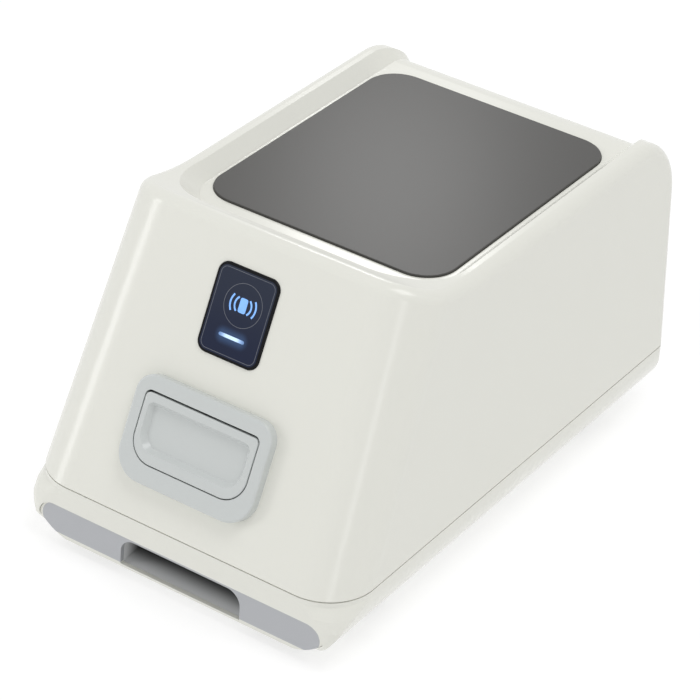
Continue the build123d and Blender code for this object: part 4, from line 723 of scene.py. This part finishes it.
def display_glass(display, origin, half):
    """Dark printed glass: bluer at its foot, a black border, and a halo about the light bar."""
    constants = {"Roughness": 0.12, "Specular IOR Level": 0.15, "Emission Strength": 1.0}
    material, wiring, shader = new_material("display glass", constants)
    place = face_place(wiring, origin, display.slope)
    width = display.border_width
    edge = panel_distance(wiring, place, half[:2] - width, GLASS_CORNER - width)
    printed = wiring.spread(edge, -PRINT_EDGE, PRINT_EDGE, 0.0, 1.0)
    texture = use_group(wiring, grain_group(), Patch_Size=25 * MM)
    parts = wiring.add("ShaderNodeSeparateXYZ", Vector=place)
    reach = 0.9 * half[1]
    upwards = wiring.spread(parts.outputs["Y"], start=-reach, end=reach, low=0.0, high=0.8)
    uneven = wiring.maths("MULTIPLY", texture.outputs["Patches"], 0.2)
    share = wiring.maths("ADD", upwards, uneven)
    tone = wiring.mix(share, tuple(display.low_glass), tuple(display.glass))
    wiring.feed(shader.inputs["Base Color"], wiring.mix(printed, tone, tuple(display.border)))
    lowered = wiring.vector_maths("ADD", place, (0, display.bar_down, 0))
    halo = panel_distance(wiring, lowered, HALO_HALF, HALO_CORNER)
    glow = wiring.spread(halo, start=0.0, end=HALO_REACH, low=HALO_LEVEL, high=0.0)
    glow = wiring.maths("MULTIPLY", glow, wiring.maths("SUBTRACT", 1.0, printed))
    wiring.feed(shader.inputs["Emission Color"], wiring.mix(glow, UNLIT, tuple(display.lit)))
    return material


def print_material(display):
    """Thin grey print on the glass, a little uneven."""
    material, wiring, shader = new_material("printed line", {"Roughness": 0.4})
    texture = use_group(wiring, grain_group(), Grain_Size=0.5 * MM)
    colour = tuple(display.lines)
    tone = wiring.mix(texture.outputs["Height"], shaded(colour, 0.85), colour)
    wiring.feed(shader.inputs["Base Color"], tone)
    return material


def lit_material(name, colour, strength):
    """Lit plastic, brighter in spots."""
    constants = {"Roughness": 0.35, "Emission Strength": strength}
    material, wiring, shader = new_material(name, constants)
    texture = use_group(wiring, grain_group(), Grain_Size=2 * MM)
    tone = wiring.mix(texture.outputs["Height"], shaded(colour, 0.8), colour)
    wiring.feed(shader.inputs["Base Color"], tone)
    wiring.feed(shader.inputs["Emission Color"], tone)
    return material


def filled(path, low, high):
    """Flat plate inside a closed path.

    The path at the low level, then at the high level and drawn in to its middle by even shares,
    as far as a tiny core, and then that core at the low level.
    """
    middle = path.mean(0)
    shares = np.array([1, 1, 0.75, 0.5, 0.25, 0.001, 0.001])
    levels = np.array([low, high, high, high, high, high, low])
    rings = middle + shares[:, None, None] * (path - middle)
    heights = np.broadcast_to(levels[:, None, None], (*rings.shape[:2], 1))
    points = np.concatenate([rings, heights], -1).reshape(-1, 3)
    return points, grid_faces(len(shares), len(path), True, True)


def pictogram(display):
    """A filled plate between two arcs on each side, as flat shapes about the ring's middle."""
    stroke, top, unit = display.stroke, display.rise, display.ring_radius
    middle = (display.ring_right, display.ring_up)
    half_width, half_height, corner = (share * unit for share in PLATE_SHARES)
    shapes = [filled(rounded_path(middle, (half_width, half_height), corner), 0, top)]
    for side in (0, np.pi):
        for radius, reach in ARC_SHARES:
            angle = side + np.linspace(-reach, reach, ARC_STEPS)
            arc = np.stack([np.cos(angle), np.sin(angle)], -1) * radius * unit + middle
            shapes.append(ribbon(arc, stroke, 0, top, False))
    return joined_shapes(shapes)


class SCANNER_OT_display(bpy.types.Operator):
    """Finish the display glass and add its thin frame, ring and lit pictogram"""

    bl_idname = "scanner.display"
    bl_label = "Display"

    def execute(self, context):
        display = context.scene.scanner_display
        turn, origin, half = front_frame("display_window", display.slope)
        dress("display_glass", display_glass(display, origin, half))
        line = print_material(display)
        inset = display.line_inset
        outline = rounded_path((0, 0), half[:2] - inset, GLASS_CORNER - inset)
        ring = circle_path((display.ring_right, display.ring_up), display.ring_radius)
        thin = [ribbon(path, display.line_width, 0, display.rise, True) for path in (outline, ring)]
        lit = lit_material("lit pictogram", tuple(display.lit), strength=0.55)
        for name, (points, faces), material, slot in (
            ("display_frame_line", thin[0], line, "insert_grey"),
            ("display_ring", thin[1], line, "insert_grey"),
            ("display_pictogram", pictogram(display), lit, "light_pipe"),
        ):
            placed = points @ turn.T + origin
            add_piece(name, placed, faces, material, "housing", smooth=False)
        return {"FINISHED"}


class SCANNER_OT_light_bar(bpy.types.Operator):
    """Light the bar at the foot of the display"""

    bl_idname = "scanner.light_bar"
    bl_label = "Light bar"

    def execute(self, context):
        display = context.scene.scanner_display
        _, origin, half = front_frame("light_bar", display.slope)
        constants = {"Roughness": 0.3, "Emission Strength": 1.0}
        material, wiring, shader = new_material("light bar", constants)
        place = face_place(wiring, origin, display.slope)
        parts = wiring.add("ShaderNodeSeparateXYZ", Vector=place)
        along = wiring.maths("ABSOLUTE", parts.outputs["X"])
        level = wiring.spread(along, start=0.35 * half[0], end=half[0], low=1.0, high=0.25)
        colour = wiring.mix(level, tuple(display.lit), tuple(display.bar))
        glow = wiring.mix(level, tuple(display.glass), colour)
        wiring.feed(shader.inputs["Base Color"], shaded(tuple(display.lit), 0.4))
        wiring.feed(shader.inputs["Emission Color"], glow)
        dress("light_pipe", material)
        return {"FINISHED"}


def wound_spring(hinge, slope):
    """Torsion spring: a straight leg, a helix about the hinge axis, and a second straight leg.

    The helix turns about x at one radius while its place along x goes evenly from end to end.
    Each leg runs straight between its far end and an end of the helix.
    """
    start, steps = -np.pi / 2, int(TURN_STEPS * SPRING_TURNS)
    angle = np.linspace(start, start + 2 * np.pi * SPRING_TURNS, steps)
    along = np.linspace(-SPRING_LENGTH / 2, SPRING_LENGTH / 2, steps)
    coil = np.stack([along, SPRING_RADIUS * np.cos(angle), SPRING_RADIUS * np.sin(angle)], -1)
    share = np.linspace(1, 0.08, LEG_STEPS)[:, None]
    first = coil[0] + share * np.array(BEZEL_LEG)
    last = coil[-1] + share[::-1] * np.array(DOOR_LEG)
    turn = np.array(Matrix.Rotation(slope, 3, "X"))
    points, faces = tube(np.concatenate([first, coil, last]), SPRING_WIRE)
    return points @ turn.T + np.array(hinge), faces


class SCANNER_OT_metal(bpy.types.Operator):
    """Finish the steel, sheet, brass and mirror pieces, and wind the door's spring"""

    bl_idname = "scanner.metal"
    bl_label = "Metal pieces"

    def execute(self, context):
        for slot, (name, colour, roughness, line) in METALS.items():
            dress(slot, drawn_metal(name, linear(*colour), roughness, line))
        steel = bpy.data.materials[METALS["steel"][0]]
        hinge = next(joint["pos_m"] for joint in frame["joints"] if joint["name"] == "door_swing")
        points, faces = wound_spring(hinge, context.scene.scanner_display.slope)
        spring = add_piece("door_spring_wound", points, faces, steel, None)
        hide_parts("door_spring")
        # the turns take up the door's swing, so the piece rides on neither body
        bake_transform(spring)
        return {"FINISHED"}


class SCANNER_OT_black_parts(bpy.types.Operator):
    """Finish the black moulded pieces and the rubber ones"""

    bl_idname = "scanner.black_parts"
    bl_label = "Black and rubber pieces"

    def execute(self, context):
        black = tuple(context.scene.scanner_finishes.black)
        hard = {"roughness": 0.48, "depth": 0.012 * MM, "change": 0.06, "grain": 0.5 * MM}
        soft = {"roughness": 0.78, "depth": 0.02 * MM, "change": 0.1, "grain": 0.4 * MM}
        dress("inner_black", moulded_plastic("black moulding", black, **hard))
        dress("rubber", moulded_plastic("rubber", linear(34, 34, 35), **soft))
        return {"FINISHED"}


class SCANNER_OT_boards(bpy.types.Operator):
    """Finish the circuit boards with tracks and pads"""

    bl_idname = "scanner.boards"
    bl_label = "Circuit boards"

    def execute(self, context):
        material, wiring, shader = new_material("circuit board", {"Roughness": 0.4})
        texture = use_group(wiring, board_group(), Pitch=3.5 * MM)
        mask, track, pad = linear(24, 92, 56), linear(38, 118, 74), linear(206, 186, 120)
        colour = wiring.mix(texture.outputs["Tracks"], mask, track)
        wiring.feed(shader.inputs["Base Color"], wiring.mix(texture.outputs["Pads"], colour, pad))
        wiring.feed(shader.inputs["Metallic"], texture.outputs["Pads"])
        bump(wiring, shader, texture.outputs["Tracks"], depth=0.03 * MM)
        dress("board", material)
        return {"FINISHED"}


class SCANNER_OT_optics(bpy.types.Operator):
    """Finish the lens, the light guide and the lamps"""

    bl_idname = "scanner.optics"
    bl_label = "Lens and lamps"

    def execute(self, context):
        dress("glass", clear_material("clear lens", linear(240, 246, 247)))
        dress("lamp", lit_material("lamp", linear(245, 244, 226), strength=0.05))
        return {"FINISHED"}


def camera_axes(studio):
    """Right, down and ahead of the camera, from its azimuth, elevation and roll."""
    a, e, r = studio.azimuth, studio.elevation, studio.roll
    back = np.array([math.sin(a) * math.cos(e), -math.cos(a) * math.cos(e), math.sin(e)])
    right = np.array([math.cos(a), math.sin(a), 0.0])
    up = np.cross(back, right)
    level = np.stack([right, -up, -back])
    roll = [[math.cos(r), -math.sin(r), 0], [math.sin(r), math.cos(r), 0], [0, 0, 1]]
    return np.array(roll) @ level


def add_camera(studio):
    """Camera whose axes carry the foot of the front to its reference place."""
    axes = camera_axes(studio)
    low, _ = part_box("upper_housing")
    foot = np.array([0, CAD_BOX[0].y, low.z])
    centre = foot - axes.T @ np.array(studio.shift)
    data = bpy.data.cameras.new("camera")
    data.lens = studio.lens
    data.sensor_width = SENSOR_WIDTH
    data.clip_start, data.clip_end = NEAREST, FURTHEST
    camera = bpy.data.objects.new("camera", data)
    turn = np.stack([axes[0], -axes[1], -axes[2]], 1)
    camera.matrix_world = Matrix.Translation(centre.tolist()) @ Matrix(turn.tolist()).to_4x4()
    bpy.context.scene.collection.objects.link(camera)
    bpy.context.scene.camera = camera


def add_lamp(name, place, size, power):
    """Rectangular soft lamp that faces the middle of the object."""
    data = bpy.data.lights.new(name, "AREA")
    data.shape = "RECTANGLE"
    data.size, data.size_y = size
    data.energy = power
    lamp = bpy.data.objects.new(name, data)
    lamp.location = place
    aim = (CAD_BOX[0] + CAD_BOX[1]) / 2 - Vector(place)
    lamp.rotation_euler = aim.to_track_quat("-Z", "Y").to_euler()
    bpy.context.scene.collection.objects.link(lamp)


def seen_ray(wiring):
    """One for rays of the camera, of a reflection or through glass, and zero for the rest."""
    path = wiring.add("ShaderNodeLightPath")
    seen = wiring.maths("MAXIMUM", path.outputs["Is Camera Ray"], path.outputs["Is Glossy Ray"])
    return wiring.maths("MAXIMUM", seen, path.outputs["Is Transmission Ray"])


def add_surround(level):
    """White surround for what the camera sees, and an even plain light for the object."""
    world = bpy.data.worlds.new("surround")
    world.use_nodes = True
    bpy.context.scene.world = world
    wiring = Wiring(world.node_tree)
    background = world.node_tree.nodes["Background"]
    colour = wiring.mix(seen_ray(wiring), grey_level(level), WHITE)
    wiring.feed(background.inputs["Color"], colour)


def add_floor(half):
    """Pale floor that keeps the object's shadow and looks white to the camera."""
    row = np.linspace(-half, half, 3)
    x, y = np.meshgrid(row, row)
    points = np.stack([x, y, np.zeros_like(x)], -1).reshape(-1, 3)
    mesh = bpy.data.meshes.new("floor")
    mesh.from_pydata(points.tolist(), [], grid_faces(3, 3, False, False).tolist())
    floor = bpy.data.objects.new("floor", mesh)
    bpy.context.scene.collection.objects.link(floor)
    constants = {"Roughness": 0.9, "Specular IOR Level": 0.0, "Emission Strength": 1.0}
    material, wiring, shader = new_material("floor", constants)
    seen = seen_ray(wiring)
    shown = wiring.mix(seen, linear(232, 232, 232), grey_level(0.42))
    lit = wiring.mix(seen, grey_level(0.2), grey_level(0.66))
    wiring.feed(shader.inputs["Base Color"], shown)
    wiring.feed(shader.inputs["Emission Color"], lit)
    mesh.materials.append(material)


class SCANNER_OT_studio(bpy.types.Operator):
    """Set up the white studio: camera, floor, surround and soft lamps"""

    bl_idname = "scanner.studio"
    bl_label = "Studio"

    def execute(self, context):
        studio = context.scene.scanner_studio
        add_camera(studio)
        add_surround(studio.surround)
        add_floor(studio.floor)
        for name, (place, size, power) in LAMPS.items():
            add_lamp(name, place, size, power)
        context.scene.view_settings.view_transform = "Standard"
        return {"FINISHED"}


class SCANNER_PT_sidebar(bpy.types.Panel):
    """Lists the scanner's pieces and its settings"""

    bl_label = "Plate scanner"
    bl_idname = "SCANNER_PT_sidebar"
    bl_space_type = "VIEW_3D"
    bl_region_type = "UI"
    bl_category = "Scanner"

    def draw(self, context):
        for operator in OPERATORS:
            self.layout.operator(operator.bl_idname)
        for name in SETTINGS:
            box = self.layout.box()
            settings = getattr(context.scene, name)
            for key in settings.__annotations__:
                box.prop(settings, key)


OPERATORS = (
    SCANNER_OT_housing,
    SCANNER_OT_door,
    SCANNER_OT_outlet,
    SCANNER_OT_top_panel,
    SCANNER_OT_display,
    SCANNER_OT_light_bar,
    SCANNER_OT_metal,
    SCANNER_OT_black_parts,
    SCANNER_OT_boards,
    SCANNER_OT_optics,
    SCANNER_OT_studio,
)
SETTINGS = {
    "scanner_finishes": ScannerFinishes,
    "scanner_display": ScannerDisplay,
    "scanner_studio": ScannerStudio,
}


def register():
    for settings in SETTINGS.values():
        bpy.utils.register_class(settings)
    for name, settings in SETTINGS.items():
        setattr(bpy.types.Scene, name, bpy.props.PointerProperty(type=settings))
    for item in (*OPERATORS, SCANNER_PT_sidebar):
        bpy.utils.register_class(item)


def unregister():
    for item in reversed((*OPERATORS, SCANNER_PT_sidebar)):
        bpy.utils.unregister_class(item)
    for name in SETTINGS:
        delattr(bpy.types.Scene, name)
    for settings in reversed(SETTINGS.values()):
        bpy.utils.unregister_class(settings)


def main():
    """Build every piece in order."""
    register()
    bpy.ops.scanner.housing()
    bpy.ops.scanner.door()
    bpy.ops.scanner.outlet()
    bpy.ops.scanner.top_panel()
    bpy.ops.scanner.display()
    bpy.ops.scanner.light_bar()
    bpy.ops.scanner.metal()
    bpy.ops.scanner.black_parts()
    bpy.ops.scanner.boards()
    bpy.ops.scanner.optics()
    bpy.ops.scanner.studio()


if __name__ == "__main__":
    main()
